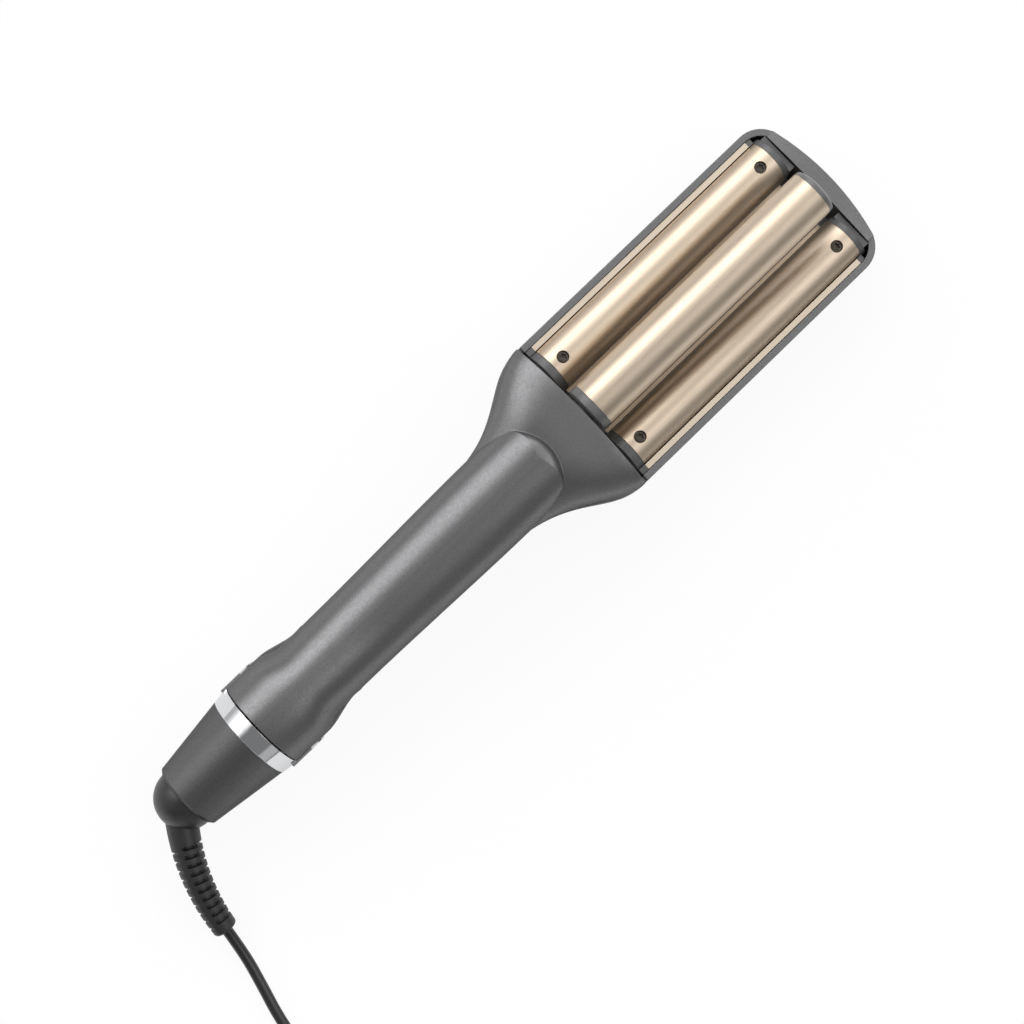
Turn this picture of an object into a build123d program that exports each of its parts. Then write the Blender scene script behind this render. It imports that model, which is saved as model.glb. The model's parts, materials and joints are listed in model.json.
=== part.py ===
"""Squeeze-type triple-barrel hair waver with a swivel cord.

Each arm is modelled in its own frame: the origin on the hinge axis, +X to the tip, and z = 0 on the
parting plane where the closed arms meet. The front arm lies above that plane and the back arm below.
At rest the waver lies on its back arm, sprung open. Sizes are millimetres and degrees.
"""

import os
from math import cos, pi, radians, sin, sqrt, tan

from build123d import *

# ---- driving dimensions -------------------------------------------------------------------------

rest_opening = 6.0  # angle between the arms when released
parting_gap = 0.5  # between the closed arms
fit = 0.15  # clearance of a piece that drops into a shell
slide_gap = 0.3  # clearance of a piece that travels in a hole
beyond = 60.0  # reach of a cut past every edge of an arm

# Shells
wall = 2.2
handle_half_width = 17.8  # at the flare
grip_half_width = 16.3  # narrowest place, near the hinge
grip_x = 30.0
hinge_half_width = 19.35
front_swell = [6.5, 18.5]  # along X, where the front handle narrows from the hinge to the grip
back_swell = [9.0, 26.0]
handle_depth = 17.6  # parting plane to crest
hinge_depth = 22.2
shell_end = -6.3  # rear end of both shells

# Flare: concave from the handle, straight, then convex to the lip
flare_start = 108.0
flare_root_half_width = 17.1
flare_concave_radius = 60.0
flare_slope = 29.8
flare_straight = 12.0  # along X
flare_convex_radius = 21.0
flare_depth = 14.0
flare_root_depth = 7.4
lip_bow = 1.2
dome_x = 126.0  # centre of the rounded end of the front handle
dome_round = 6.0  # rounding of that end's top edge

# Tray of the back arm
tray_start = 163.1
tray_tip = 297.9
tray_half_width = 35.45
rim_wall = 2.7
rim_top = 2.0
tip_corner_radius = 12.0
tip_crown_radius = 107.3
tip_wall_x = tray_tip - 7.5
tip_wall_half_width = 28.4
tip_wall_height = 5.2
tray_edge_radius = 10.0
tray_floor = 2.4

# Barrels
barrel_radius = 9.75
barrel_pitch = 21.25
barrel_z = -2.9
barrel_wall = 1.4
plate_start = 166.7
plate_end = tray_tip - 12.8
barrel_outer_angle = 62.5  # where the outer barrel meets its side strip
lip_z = -12.6
lip_reach = 2.0
tube_start = 167.0
tube_end = tray_tip - 15.9
cap_length = 4.1
cap_rim = 1.2
cap_dome = 2.4

# Side strips
strip_inner = 30.3
strip_outer = 32.55
strip_top = 1.6
strip_thickness = 1.2
strip_start = 166.5
strip_end = tray_tip - 15.0

# Face screws in the outer barrels
screw_near_x = 171.9
screw_far_x = tray_tip - 18.8
screw_head_radius = 2.3
screw_shaft_radius = 1.25
screw_recess = 0.7
screw_length = 9.0
driver_radius = 1.1  # of the hexagonal recess
driver_depth = 0.9

# Hinge yoke
ring_start = -6.9
ring_length = 6.8
ring_half_width = 19.5
ring_half_depth = 23.3
ring_taper = 0.9  # narrower at the tail end
ring_wall = 1.6
cheek_thickness = 1.3
cheek_radius = 6.4
cheek_proud = 0.5
pin_radius = 2.0
pin_gap = 0.06
knuckle_radius = 4.6
knuckle_width = 7.0

# Tail and cord swivel
tail_length = 33.4
tail_end_radius = 14.1
tail_chamfer = 1.3
tail_wall = 2.0
ball_radius = 12.4
ball_gap = 0.3
journal_radius = 9.0
journal_gap = 0.08
bush_length = 6.0
flange_radius = ball_radius - 1.8
flange_length = 2.0
wire_bore_radius = 2.4

# Strain relief
relief_root_radius = 6.5
relief_tip_radius = 4.9
relief_slots = 10
relief_slot = 1.7

# Control panel on the outer face of the back handle
panel_x = 78.0
panel_length = 66.0
panel_half_width = 6.0
panel_thickness = 1.5
panel_recess = 1.0
window_x = 58.5
window_length = 21.0
window_width = 8.6
button_x = [79.0, 90.0, 101.0]
button_radius = 3.4
button_proud = 0.5
button_travel = 0.5
board_length = 66.0
board_half_width = 8.5
board_thickness = 1.2
switch_size = 5.0
switch_height = 1.2

# Opening spring between the handles
spring_x = 23.5
spring_radius = 3.6
spring_cup_radius = 5.0
spring_cup_wall = 1.5
spring_wire = 0.5
spring_turns = 6
spring_seat = 8.0  # depth of each seat below the parting plane

# Mains cord
cord_radius = 2.2
coil_turn_radius = 24.2
coil_columns = 6
coil_layers = 2
coil_lift = 0.7  # the tie passes under the coil

os.makedirs("parts", exist_ok=True)

# ---- derived sizes ------------------------------------------------------------------------------

tilt = radians(rest_opening)
half_gap = parting_gap / 2
low = (Align.CENTER, Align.CENTER, Align.MIN)
ring_end = ring_start - ring_length
ring_end_depth = ring_half_depth - ring_taper
ring_end_width = ring_half_width - ring_taper
tail_end = ring_end - tail_length
# The released tail dips behind the hinge, so the lower edge of the ring sets the height of the hinge.
ring_start_drop = ring_half_depth * cos(tilt) - ring_start * sin(tilt)
ring_end_drop = ring_end_depth * cos(tilt) - ring_end * sin(tilt)
floor_z = -max(ring_start_drop, ring_end_drop)
tray_depth = -floor_z
centre_x = (tray_tip + tail_end * cos(tilt) - ball_radius) / 2


def arch(x, half_width, depth, skirt, flat, side=1):
    """Closed cross-section standing on the parting plane at x, above it for side 1, below for -1."""
    plane = Plane(origin=(x, 0, side * half_gap), x_dir=(0, side, 0), z_dir=(1, 0, 0))
    with BuildSketch(plane) as section:
        with BuildLine():
            Line((-half_width, 0), (half_width, 0))
            Line((half_width, 0), (half_width, skirt))
            EllipticalCenterArc((flat, skirt), half_width - flat, depth - skirt, 0, arc_size=90)
            Line((flat, depth), (-flat, depth))
            EllipticalCenterArc((-flat, skirt), half_width - flat, depth - skirt, 90, arc_size=90)
            Line((-half_width, skirt), (-half_width, 0))
        make_face()
    return section.sketch


def blend(t):
    """Smooth step from 0 to 1."""
    t = min(max(t, 0), 1)
    return t * t * (3 - 2 * t)


def handle_width(x, swell):
    """Half width of the handle: full at the hinge, waisted at the grip, a little wider at the flare."""
    hinge_swell = (hinge_half_width - grip_half_width) * (1 - blend((x - swell[0]) / (swell[1] - swell[0])))
    return grip_half_width + hinge_swell + (handle_half_width - grip_half_width) * blend((x - grip_x) / 90)


def handle_crest(x, crest):
    """Depth of the handle's crest: full at the hinge and easing to the given depth."""
    return crest + (hinge_depth - crest) * (1 - blend((x + 4) / 58))


def flare_width(x):
    """Half width of the flare from two tangent arcs and the straight between them."""
    turn = radians(flare_slope)
    concave_run = flare_concave_radius * sin(turn)
    convex_run = flare_convex_radius * sin(turn)
    along = x - flare_start
    if along <= concave_run:
        return flare_root_half_width + flare_concave_radius - sqrt(flare_concave_radius**2 - along**2)
    width = flare_root_half_width + flare_concave_radius * (1 - cos(turn))
    along -= concave_run
    if along <= flare_straight:
        return width + along * tan(turn)
    width += flare_straight * tan(turn)
    left = convex_run - min(along - flare_straight, convex_run)
    return width + sqrt(flare_convex_radius**2 - left**2) - flare_convex_radius * cos(turn)


flare_arcs = (flare_concave_radius + flare_convex_radius) * sin(radians(flare_slope))
flare_end = flare_start + flare_arcs + flare_straight + lip_bow


def handle_body(inset, crest, side, end, swell):
    """Solid of a handle from its rear end to the station end, drawn in by inset all round."""
    with BuildPart() as body:
        for start, stop, spans in ((shell_end, grip_x, 12), (grip_x, end, 10)):
            for station in range(spans + 1):
                x = start + (stop - start) * station / spans
                width = handle_width(x, swell) - inset
                depth = handle_crest(x, crest) - inset
                arch_section = arch(x, width, depth, 3, 1.2, side)
                add(arch_section)
            loft()
    return body.part


def front_flare(inset):
    """Solid of the front arm's flare, drawn in by inset."""
    spans = 8
    with BuildPart() as body:
        for station in range(spans + 1):
            x = flare_start + (flare_end - flare_start) * station / spans
            rise = blend((x - flare_start) / 40)
            depth = flare_root_depth + (flare_depth - flare_root_depth) * rise - inset
            width = flare_width(x) - inset
            arch_section = arch(x, width, depth, 2.4, width * 0.3, 1)
            add(arch_section)
        loft()
    return body.part


def back_flare(inset):
    """Solid of the back arm's flare, drawn in by inset; it swells into the deeper tray."""
    spans = 8
    grow = tray_half_width - flare_width(flare_end)
    with BuildPart() as body:
        for station in range(spans + 1):
            x = flare_start + (tray_start - flare_start) * station / spans
            rise = blend((x - flare_start) / (tray_start - flare_start))
            depth = 11 + (tray_depth - half_gap - 11) * rise - inset
            width = flare_width(x) + grow * rise - inset
            edge = tray_edge_radius - inset
            skirt = 2.4 + (depth - edge - 2.4) * rise
            flat = width * 0.3 + (width - edge - width * 0.3) * rise
            arch_section = arch(x, width, depth, skirt, flat, -1)
            add(arch_section)
        loft()
    return body.part


lying = Location((-centre_x, 0, -floor_z))
raised = lying * Location((0, 0, 0), (0, -rest_opening, 0))


def save(builder, name, home):
    """Label a finished piece, move it to its place in the resting waver and write it."""
    builder.part.label = name
    piece = builder.part.moved(home)
    piece.label = name
    export_step(piece, f"parts/{name}.step")


def block(x0, x1, y0, y1, z0, z1, mode=Mode.ADD):
    """Box of the current part between two limits along each axis."""
    with Locations(((x0 + x1) / 2, (y0 + y1) / 2, (z0 + z1) / 2)):
        Box(x1 - x0, y1 - y0, z1 - z0, mode=mode)


def slab(x0, x1, z0, z1):
    """Wide solid box used to keep one layer of a solid."""
    with BuildPart() as layer:
        block(x0, x1, -beyond, beyond, z0, z1)
    return layer.part


# ---- front arm ----------------------------------------------------------------------------------

snug = 0.05  # clearance between round pieces of one body
liner_screw_x = [50.0, 112.0]
liner_screw_head = 2.2
liner_head_depth = 1.3
screw_tip_gap = 0.5  # between a screw's tip and the end of its hole
liner_screw_length = 11.0
post_radius = 3.2
liner_thickness = 2.0
liner_start = 8.0
handle_end = 150.0  # the handle runs on inside the flare to here
socket_half_width = 8.0
socket_start = 131.0
socket_end = 158.4
socket_floor = -9.6
spine_radius = 4.0
collar_radius = 6.4
spine_start = 143.0
spine_end = 180.0
lead_radius = 0.8
lead_start = -2.0
lead_height = 11.4
lead_spread = 4.8
lead_inner = 1.1
shoe_start = 185.0
shoe_end = tray_tip - 30.9
heater_half_width = 6.2
heater_half_height = 2.4
heater_round = 0.8
sensor_radius = 1.2
centre_sensor_length = 5.0
tube_bore = barrel_radius - barrel_wall

lip_radius = (tray_half_width**2 + lip_bow**2) / (2 * lip_bow)
cheek_face = hinge_half_width + cheek_proud


def front_solid(inset):
    """Solid of the whole front arm, drawn in by inset."""
    reach = handle_half_width - inset
    crest = half_gap + handle_depth - inset
    with BuildPart() as body:
        with BuildSketch(Plane(origin=(dome_x, 0, 0), x_dir=(1, 0, 0), z_dir=(0, -1, 0))):
            with BuildLine():
                Line((0, 0), (reach, 0))
                Line((reach, 0), (reach, crest - dome_round))
                RadiusArc((reach, crest - dome_round), (reach - dome_round, crest), -dome_round)
                Line((reach - dome_round, crest), (0, crest))
                Line((0, crest), (0, 0))
            make_face()
        revolve(axis=Axis((dome_x, 0, 0), (0, 0, 1)))
        block(2 * shell_end, dome_x, -beyond, beyond, -half_gap, beyond)
        add(handle_body(inset, handle_depth, 1, handle_end, front_swell), mode=Mode.INTERSECT)
        add(front_flare(inset))
        with BuildSketch(Plane.XY) as bow:
            with Locations((flare_end - lip_radius, 0)):
                Circle(lip_radius)
        extrude(amount=beyond, mode=Mode.INTERSECT)
    return body.part


with BuildPart() as cheek_pocket:
    with BuildSketch(Plane.XZ.offset(-cheek_face + cheek_thickness + fit)) as tongue:
        Circle(cheek_radius + slide_gap)
        with Locations((-cheek_radius, 0)):
            Rectangle(2 * cheek_radius, 2 * (cheek_radius + slide_gap))
    extrude(amount=-6)
    mirror(about=Plane.XZ)

with BuildPart() as front_posts:
    for x in liner_screw_x:
        with Locations((x, 0, half_gap + liner_thickness)):
            Cylinder(post_radius, beyond, align=low)
    add(front_solid(wall / 2), mode=Mode.INTERSECT)
    for x in liner_screw_x:
        with Locations((x, 0, 0)):
            Cylinder(screw_shaft_radius, liner_screw_length, align=low, mode=Mode.SUBTRACT)

with BuildPart() as front_shell:
    add(front_solid(0))
    add(front_solid(wall), mode=Mode.SUBTRACT)
    add(front_posts.part)
    add(cheek_pocket.part, mode=Mode.SUBTRACT)
    with Locations(Plane.XZ):
        Cylinder(pin_radius + slide_gap, 2 * beyond, mode=Mode.SUBTRACT)
save(front_shell, "front_shell", raised)

with BuildPart() as liner_mouth:
    add(front_solid(wall + fit))
    add(slab(socket_end - 2, socket_end, half_gap, beyond), mode=Mode.INTERSECT)

with BuildPart() as front_liner:
    add(front_solid(wall + fit))
    add(slab(liner_start, flare_end, half_gap, half_gap + liner_thickness), mode=Mode.INTERSECT)
    add(liner_mouth.part)
    block(socket_start, socket_end, -socket_half_width, socket_half_width, socket_floor, half_gap + 4)
    with Locations(Plane(origin=(socket_end - 1, 0, barrel_z), z_dir=(1, 0, 0))):
        Cylinder(collar_radius, tube_start - cap_length - snug - socket_end + 1, align=low)
    pocket_half = socket_half_width - 2
    block(socket_start + 2, spine_start, -pocket_half, pocket_half, socket_floor + 2, beyond, Mode.SUBTRACT)
    with Locations(Plane(origin=(spine_start, 0, barrel_z), z_dir=(1, 0, 0))):
        Cylinder(spine_radius + snug, beyond, align=low, mode=Mode.SUBTRACT)
    with Locations(Plane.XY.offset(half_gap + liner_thickness)):
        with Locations((spring_x, 0)):
            Cylinder(spring_cup_radius + spring_cup_wall, spring_seat, align=low)
    with Locations((spring_x, 0, half_gap)):
        Cylinder(spring_cup_radius, spring_seat, align=low, mode=Mode.SUBTRACT)
    for x in liner_screw_x:
        with Locations((x, 0, half_gap)):
            Cylinder(liner_screw_head + snug, liner_head_depth, align=low, mode=Mode.SUBTRACT)
            Cylinder(screw_shaft_radius + snug, liner_thickness + snug, align=low, mode=Mode.SUBTRACT)
save(front_liner, "front_liner", raised)

with BuildPart() as centre_barrel:
    with Locations(Plane(origin=(tube_start, 0, barrel_z), z_dir=(1, 0, 0))):
        Cylinder(barrel_radius, tube_end - tube_start, align=low)
        Cylinder(tube_bore, tube_end - tube_start, align=low, mode=Mode.SUBTRACT)
save(centre_barrel, "centre_barrel", raised)

barrel_axis = Plane(origin=(0, 0, barrel_z), x_dir=(1, 0, 0), z_dir=(0, -1, 0))
cap_radius = barrel_radius - 0.15
plug_radius = tube_bore - snug
plug_depth = 6.0

with BuildPart() as centre_near_cap:
    with BuildSketch(barrel_axis) as profile:
        with BuildLine():
            Polyline(
                (tube_start - cap_length, spine_radius + snug),
                (tube_start - cap_length, cap_radius - 0.8),
                (tube_start - cap_length + 0.8, cap_radius),
                (tube_start, cap_radius),
                (tube_start, plug_radius),
                (tube_start + plug_depth, plug_radius),
                (tube_start + plug_depth, spine_radius + snug),
                close=True,
            )
        make_face()
    revolve(axis=Axis((0, 0, barrel_z), (1, 0, 0)))
save(centre_near_cap, "centre_near_cap", raised)

with BuildPart() as centre_far_cap:
    with BuildSketch(barrel_axis) as profile:
        with BuildLine():
            Line((tube_end - plug_depth, 0), (tube_end - plug_depth, plug_radius))
            Line((tube_end - plug_depth, plug_radius), (tube_end, plug_radius))
            Line((tube_end, plug_radius), (tube_end, cap_radius))
            Line((tube_end, cap_radius), (tube_end + cap_rim, cap_radius))
            EllipticalCenterArc((tube_end + cap_rim, 0), cap_dome, cap_radius, 0, arc_size=90)
            Line((tube_end + cap_rim + cap_dome, 0), (tube_end - plug_depth, 0))
        make_face()
    revolve(axis=Axis((0, 0, barrel_z), (1, 0, 0)))
save(centre_far_cap, "centre_far_cap", raised)

with BuildPart() as centre_spine:
    with Locations(Plane(origin=(spine_start, 0, barrel_z), z_dir=(1, 0, 0))):
        Cylinder(spine_radius, spine_end - spine_start, align=low)
        Cylinder(wire_bore_radius, spine_end - spine_start, align=low, mode=Mode.SUBTRACT)
save(centre_spine, "centre_spine", raised)

with BuildPart() as centre_heat_shoes:
    with Locations(Plane(origin=(shoe_start, 0, barrel_z), z_dir=(1, 0, 0))):
        Cylinder(plug_radius, shoe_end - shoe_start, align=low)
    gap_half = heater_half_height + snug
    block(shoe_start, shoe_end, -20, 20, barrel_z - gap_half, barrel_z + gap_half, Mode.SUBTRACT)
save(centre_heat_shoes, "centre_heat_shoes", raised)

with BuildPart() as centre_heater:
    block(
        shoe_start + 2,
        shoe_end - 2,
        -heater_half_width,
        heater_half_width,
        barrel_z - heater_half_height,
        barrel_z + heater_half_height,
    )
    fillet(centre_heater.edges().filter_by(Axis.X), heater_round)
save(centre_heater, "centre_heater", raised)

sensor_start = shoe_start - centre_sensor_length
sensor_z = barrel_z + tube_bore - sensor_radius - 1.5

with BuildPart() as centre_sensor:
    with Locations(Plane(origin=(sensor_start, 0, sensor_z), z_dir=(1, 0, 0))):
        Cylinder(sensor_radius, centre_sensor_length, align=low)
    fillet(centre_sensor.edges().sort_by(Axis.X)[0], 0.5)
save(centre_sensor, "centre_sensor", raised)

with BuildPart() as front_leads:
    for side in (1, -1):
        with BuildLine() as route:
            FilletPolyline(
                (lead_start, side * lead_spread, lead_height),
                (socket_start + 4, side * lead_spread, lead_height),
                (socket_start + 9.5, side * lead_inner, barrel_z),
                (shoe_start + 1.9, side * lead_inner, barrel_z),
                radius=4,
            )
        with BuildSketch(Plane(origin=(lead_start, side * lead_spread, lead_height), z_dir=(1, 0, 0))):
            Circle(lead_radius)
        sweep(path=route.wires()[0])
save(front_leads, "front_leads", raised)

with BuildPart() as front_liner_screws:
    for x in liner_screw_x:
        with Locations((x, 0, half_gap)):
            Cylinder(liner_screw_head, liner_head_depth, align=low)
            Cylinder(screw_shaft_radius - snug, liner_screw_length - screw_tip_gap, align=low)
save(front_liner_screws, "front_liner_screws", raised)

# ---- hinge yoke, pin and tail -------------------------------------------------------------------

frame_thickness = 5.2
ear_half_gap = 13.3
ear_width = 1.8
tongue_length = 40.0
tongue_inner = 8.0
tongue_outer = 12.0
tongue_bottom = 6.8
tongue_top = 9.4
frame_window_z = 13.0  # openings in the frame above and below the hinge pin
frame_window = 4.5


def oval(x, half_width, half_depth):
    """Ellipse across the tail's axis at x."""
    with BuildSketch(Plane(origin=(x, 0, 0), x_dir=(0, 1, 0), z_dir=(1, 0, 0))) as section:
        Ellipse(half_width, half_depth)
    return section.sketch


def ring_solid(inset):
    """Solid of the chrome ring, drawn in by inset."""
    with BuildPart() as body:
        add(oval(ring_start, ring_half_width - inset, ring_half_depth - inset))
        add(oval(ring_end, ring_end_width - inset, ring_end_depth - inset))
        loft()
    return body.part


with BuildPart() as hinge_yoke:
    add(ring_solid(0))
    with BuildSketch(Plane.XZ.offset(-cheek_face)) as cheek:
        Circle(cheek_radius)
        with Locations((ring_start / 2 - 1, 0)):
            Rectangle(-ring_start + 2, 2 * cheek_radius)
    extrude(amount=cheek_thickness)
    mirror(about=Plane.XZ)
    add(ring_solid(ring_wall), mode=Mode.SUBTRACT)
    with Locations(Plane.XZ):
        Cylinder(pin_radius + pin_gap, 2 * beyond, mode=Mode.SUBTRACT)
save(hinge_yoke, "hinge_yoke", raised)

with BuildPart() as hinge_pin:
    with Locations(Plane.XZ):
        Cylinder(pin_radius, 2 * cheek_face + 0.2)
    chamfer(hinge_pin.edges(), 0.25)
save(hinge_pin, "hinge_pin", raised)

with BuildPart() as tail_frame:
    add(ring_solid(ring_wall + fit))
    add(slab(ring_end, ring_end + frame_thickness, -beyond, beyond), mode=Mode.INTERSECT)
    for y in (ear_half_gap, -ear_half_gap - ear_width):
        with Locations(Plane(origin=(0, y, 0), z_dir=(0, 1, 0))):
            Cylinder(knuckle_radius, ear_width, align=low)
        block(ring_end + 1, 0, y, y + ear_width, -knuckle_radius, knuckle_radius)
    for y in (tongue_inner, -tongue_outer):
        block(ring_end + 1, tongue_length, y, y + tongue_outer - tongue_inner, tongue_bottom, tongue_top)
    for z in (frame_window_z, -frame_window_z):
        block(ring_end - 1, ring_start, -6, 6, z - frame_window / 2, z + frame_window / 2, Mode.SUBTRACT)
    with Locations(Plane.XZ):
        Cylinder(pin_radius + pin_gap, 2 * beyond, mode=Mode.SUBTRACT)
save(tail_frame, "tail_frame", raised)

ball_x = tail_end
seat_radius = ball_radius - 0.1
bush_start = ball_x + 4.3
disc_start = bush_start + bush_length + 3.6
disc_thickness = 3.0

with BuildPart() as tail_cavity:
    add(oval(ring_end, ring_end_width - tail_wall, ring_end_depth - tail_wall))
    add(oval(tail_end, tail_end_radius - tail_wall, tail_end_radius - tail_wall))
    loft()
    add(slab(disc_start + disc_thickness, 0, -beyond, beyond), mode=Mode.INTERSECT)

with BuildPart() as tail_cone:
    add(oval(ring_end, ring_end_width - 0.15, ring_end_depth - 0.15))
    add(oval(tail_end, tail_end_radius, tail_end_radius))
    loft()
    chamfer(tail_cone.faces().sort_by(Axis.X)[0].edges(), tail_chamfer)
    add(tail_cavity.part, mode=Mode.SUBTRACT)
    with Locations(Plane(origin=(ball_x, 0, 0), z_dir=(1, 0, 0))):
        Cylinder(ball_radius + ball_gap, bush_start - ball_x, align=low, mode=Mode.SUBTRACT)
        Cylinder(seat_radius + snug, disc_start + disc_thickness - ball_x, align=low, mode=Mode.SUBTRACT)
save(tail_cone, "tail_cone", raised)

with BuildPart() as swivel_bush:
    with Locations(Plane(origin=(bush_start, 0, 0), z_dir=(1, 0, 0))):
        Cylinder(seat_radius, bush_length, align=low)
        Cylinder(journal_radius + journal_gap, bush_length, align=low, mode=Mode.SUBTRACT)
    chamfer(swivel_bush.edges().filter_by(GeomType.CIRCLE).sort_by(SortBy.RADIUS)[-2:], 0.4)
save(swivel_bush, "swivel_bush", raised)

with BuildPart() as slip_ring_disc:
    with Locations(Plane(origin=(disc_start, 0, 0), z_dir=(1, 0, 0))):
        Cylinder(seat_radius, disc_thickness, align=low)
        Cylinder(wire_bore_radius, disc_thickness, align=low, mode=Mode.SUBTRACT)
save(slip_ring_disc, "slip_ring_disc", raised)

slip_ring_radii = [7.6, 4.6]
slip_ring_width = 1.2
slip_ring_thickness = 0.5

with BuildPart() as slip_rings:
    with BuildSketch(Plane(origin=(disc_start, 0, 0), z_dir=(-1, 0, 0))):
        for radius in slip_ring_radii:
            Circle(radius + slip_ring_width / 2)
            Circle(radius - slip_ring_width / 2, mode=Mode.SUBTRACT)
    extrude(amount=slip_ring_thickness)
save(slip_rings, "slip_rings", raised)

# ---- swivel, strain relief and cord -------------------------------------------------------------

ball_face = ball_x + 3.8  # inner end of the ball
flange_start = bush_start + bush_length + 0.3

# Centre line of the strain relief in the tail's frame: it leaves the ball towards -Y and droops.
relief_root = Vector(ball_x - 3.9, -1.0, 0)
relief_middle = Vector(ball_x - 17.8, -22.25, -3.2)
relief_end = Vector(ball_x - 25.4, -46.5, -9.0)

with BuildLine() as relief_line:
    ThreePointArc(relief_root, relief_middle, relief_end)
relief_path = relief_line.edges()[0]
relief_length = relief_path.length


def relief_plane(distance):
    """Plane across the strain relief; its local y axis points away from the floor."""
    along = relief_path % (distance / relief_length)
    across = along.cross(Vector(0, 0, 1)).normalized()
    return Plane(origin=relief_path @ (distance / relief_length), x_dir=across, z_dir=along)


relief_smooth = 15.0  # from the root to the first slot
relief_pitch = 3.5
relief_core = 3.4
relief_end_round = 1.2
relief_spine = 1.1  # half width
relief_turn = 22.0  # angle of the spine off the top


def relief_radius(distance):
    """Radius of the strain relief: a straight taper."""
    return relief_root_radius + (relief_tip_radius - relief_root_radius) * distance / relief_length


with BuildPart() as swivel_ball:
    with Locations((ball_x, 0, 0)):
        Sphere(ball_radius)
    add(slab(ball_x - 30, ball_face, -beyond, beyond), mode=Mode.INTERSECT)
    with Locations(Plane(origin=(ball_face, 0, 0), z_dir=(1, 0, 0))):
        Cylinder(journal_radius, flange_start - ball_face, align=low)
    with Locations(Plane(origin=(flange_start, 0, 0), z_dir=(1, 0, 0))):
        Cylinder(flange_radius, flange_length, align=low)
    with Locations(Plane(origin=(ball_x - 3, 0, 0), z_dir=(1, 0, 0))):
        Cylinder(wire_bore_radius, beyond, align=low, mode=Mode.SUBTRACT)
    with Locations(Plane(origin=relief_root, z_dir=relief_path % 0)):
        Cylinder(relief_root_radius + snug, 20, align=low, mode=Mode.SUBTRACT)
save(swivel_ball, "swivel_ball", raised)


def relief_loft(start, radius_at):
    """Solid along the strain relief's line whose radius follows the distance from its root."""
    spans = 6
    with BuildPart() as body:
        for station in range(spans + 1):
            distance = start + (relief_length - start) * station / spans
            with BuildSketch(relief_plane(distance)):
                Circle(radius_at(distance))
        loft()
    return body.part


with BuildPart() as relief_slot_cuts:
    for row in (1, -1):
        for slot in range(relief_slots):
            distance = relief_smooth + relief_pitch * (slot + (1 + row) / 4)
            with Locations(relief_plane(distance) * Location((0, 0, 0), (0, 0, relief_turn))):
                with Locations((row * (relief_spine + relief_root_radius), 0, 0)):
                    Box(2 * relief_root_radius, 3 * relief_root_radius, relief_slot)
    add(relief_loft(relief_smooth - 5, lambda distance: relief_core), mode=Mode.SUBTRACT)

with BuildPart() as strain_relief:
    with Locations(Plane(origin=relief_root, z_dir=relief_path % 0)):
        Cylinder(relief_root_radius, 2, align=low)
    add(relief_loft(1, relief_radius))
    fillet(strain_relief.faces().sort_by(Axis.Y)[0].edges(), relief_end_round)
    with Locations(relief_plane(relief_length)):
        Cylinder(cord_radius + snug, 10, mode=Mode.SUBTRACT)
    add(relief_slot_cuts.part, mode=Mode.SUBTRACT)
save(strain_relief, "strain_relief", raised)

contact_start = flange_start + flange_length
contact_length = disc_start - slip_ring_thickness - 0.1 - contact_start

with BuildPart() as wiper_contacts:
    for radius in slip_ring_radii:
        with Locations((contact_start, radius, 0)):
            Box(contact_length, slip_ring_width - 0.2, 3, align=(Align.MIN, Align.CENTER, Align.CENTER))
save(wiper_contacts, "wiper_contacts", raised)

cord_pitch = 2 * cord_radius
coil_centre = (-239.1, -117.0)
coil_top_z = coil_lift + cord_pitch * coil_layers
exit_point = Plane(raised * relief_plane(relief_length).location).origin

# Route of the cord over the floor in the resting waver's frame: out of the strain relief to the coil.
cord_points = [
    (exit_point.X, exit_point.Y, exit_point.Z),
    (-192.4, -58.0, 3.6),
    (-195.4, -69.5, 2.2),
    (-201.0, -89.0, 2.2),
    (-203.9, -117.0, 2.9),
]
# Short lead from the coil's outer turn to the plug
lead_points = [
    (-274.3, -117.0, 7.3),
    (-274.9, -101.0, 7.4),
    (-278.6, -87.0, 7.8),
    (-284.5, -74.5, 8.0),
]
plug_half_height = 8.0
plug_half_width = 11.5
plug_root_radius = 3.3
plug_neck_radius = 5.6
plug_corner = 5.0
plug_rear_half_width = 7.5
plug_rear_half_height = 6.0
plug_neck_length = 13.0
plug_body_length = 23.0
blade_length = 16.0
blade_width = 6.3
blade_thickness = 1.5
blade_spacing = 12.7
tie_width = 8.0
tie_thickness = 0.6
tie_side_gap = 0.8
tie_top_gap = 0.1


def corner_radii(points):
    """Largest arc for each corner: 0.45 of the shorter run over the tangent of half the turn."""
    corners = [Vector(point) for point in points]
    radii = []
    for before, corner, after in zip(corners, corners[1:], corners[2:]):
        turn = (corner - before).get_angle(after - corner)
        shorter = min((corner - before).length, (after - corner).length)
        radii.append(0.45 * shorter / tan(radians(turn) / 2))
    return radii


def cord_solid(points):
    """Tube along a route: straight runs joined by tangent arcs."""
    radii = corner_radii(points)
    print("cord radii", [round(radius, 1) for radius in radii])
    with BuildPart() as tube:
        with BuildLine() as route:
            FilletPolyline(*points, radius=radii)
        start = Vector(points[0])
        with BuildSketch(Plane(origin=start, z_dir=Vector(points[1]) - start)):
            Circle(cord_radius)
        sweep(path=route.wires()[0])
    length = sum(edge.length for edge in route.edges())
    ratio = tube.part.volume / (length * pi * cord_radius**2)
    print("cord length", round(length, 1), "volume ratio", round(ratio, 4))
    return tube


floor_frame = Location((0, 0, 0))
cord_tube = cord_solid(cord_points)
save(cord_tube, "cord_tube", floor_frame)
cord_lead = cord_solid(lead_points)
save(cord_lead, "cord_lead", floor_frame)

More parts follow.
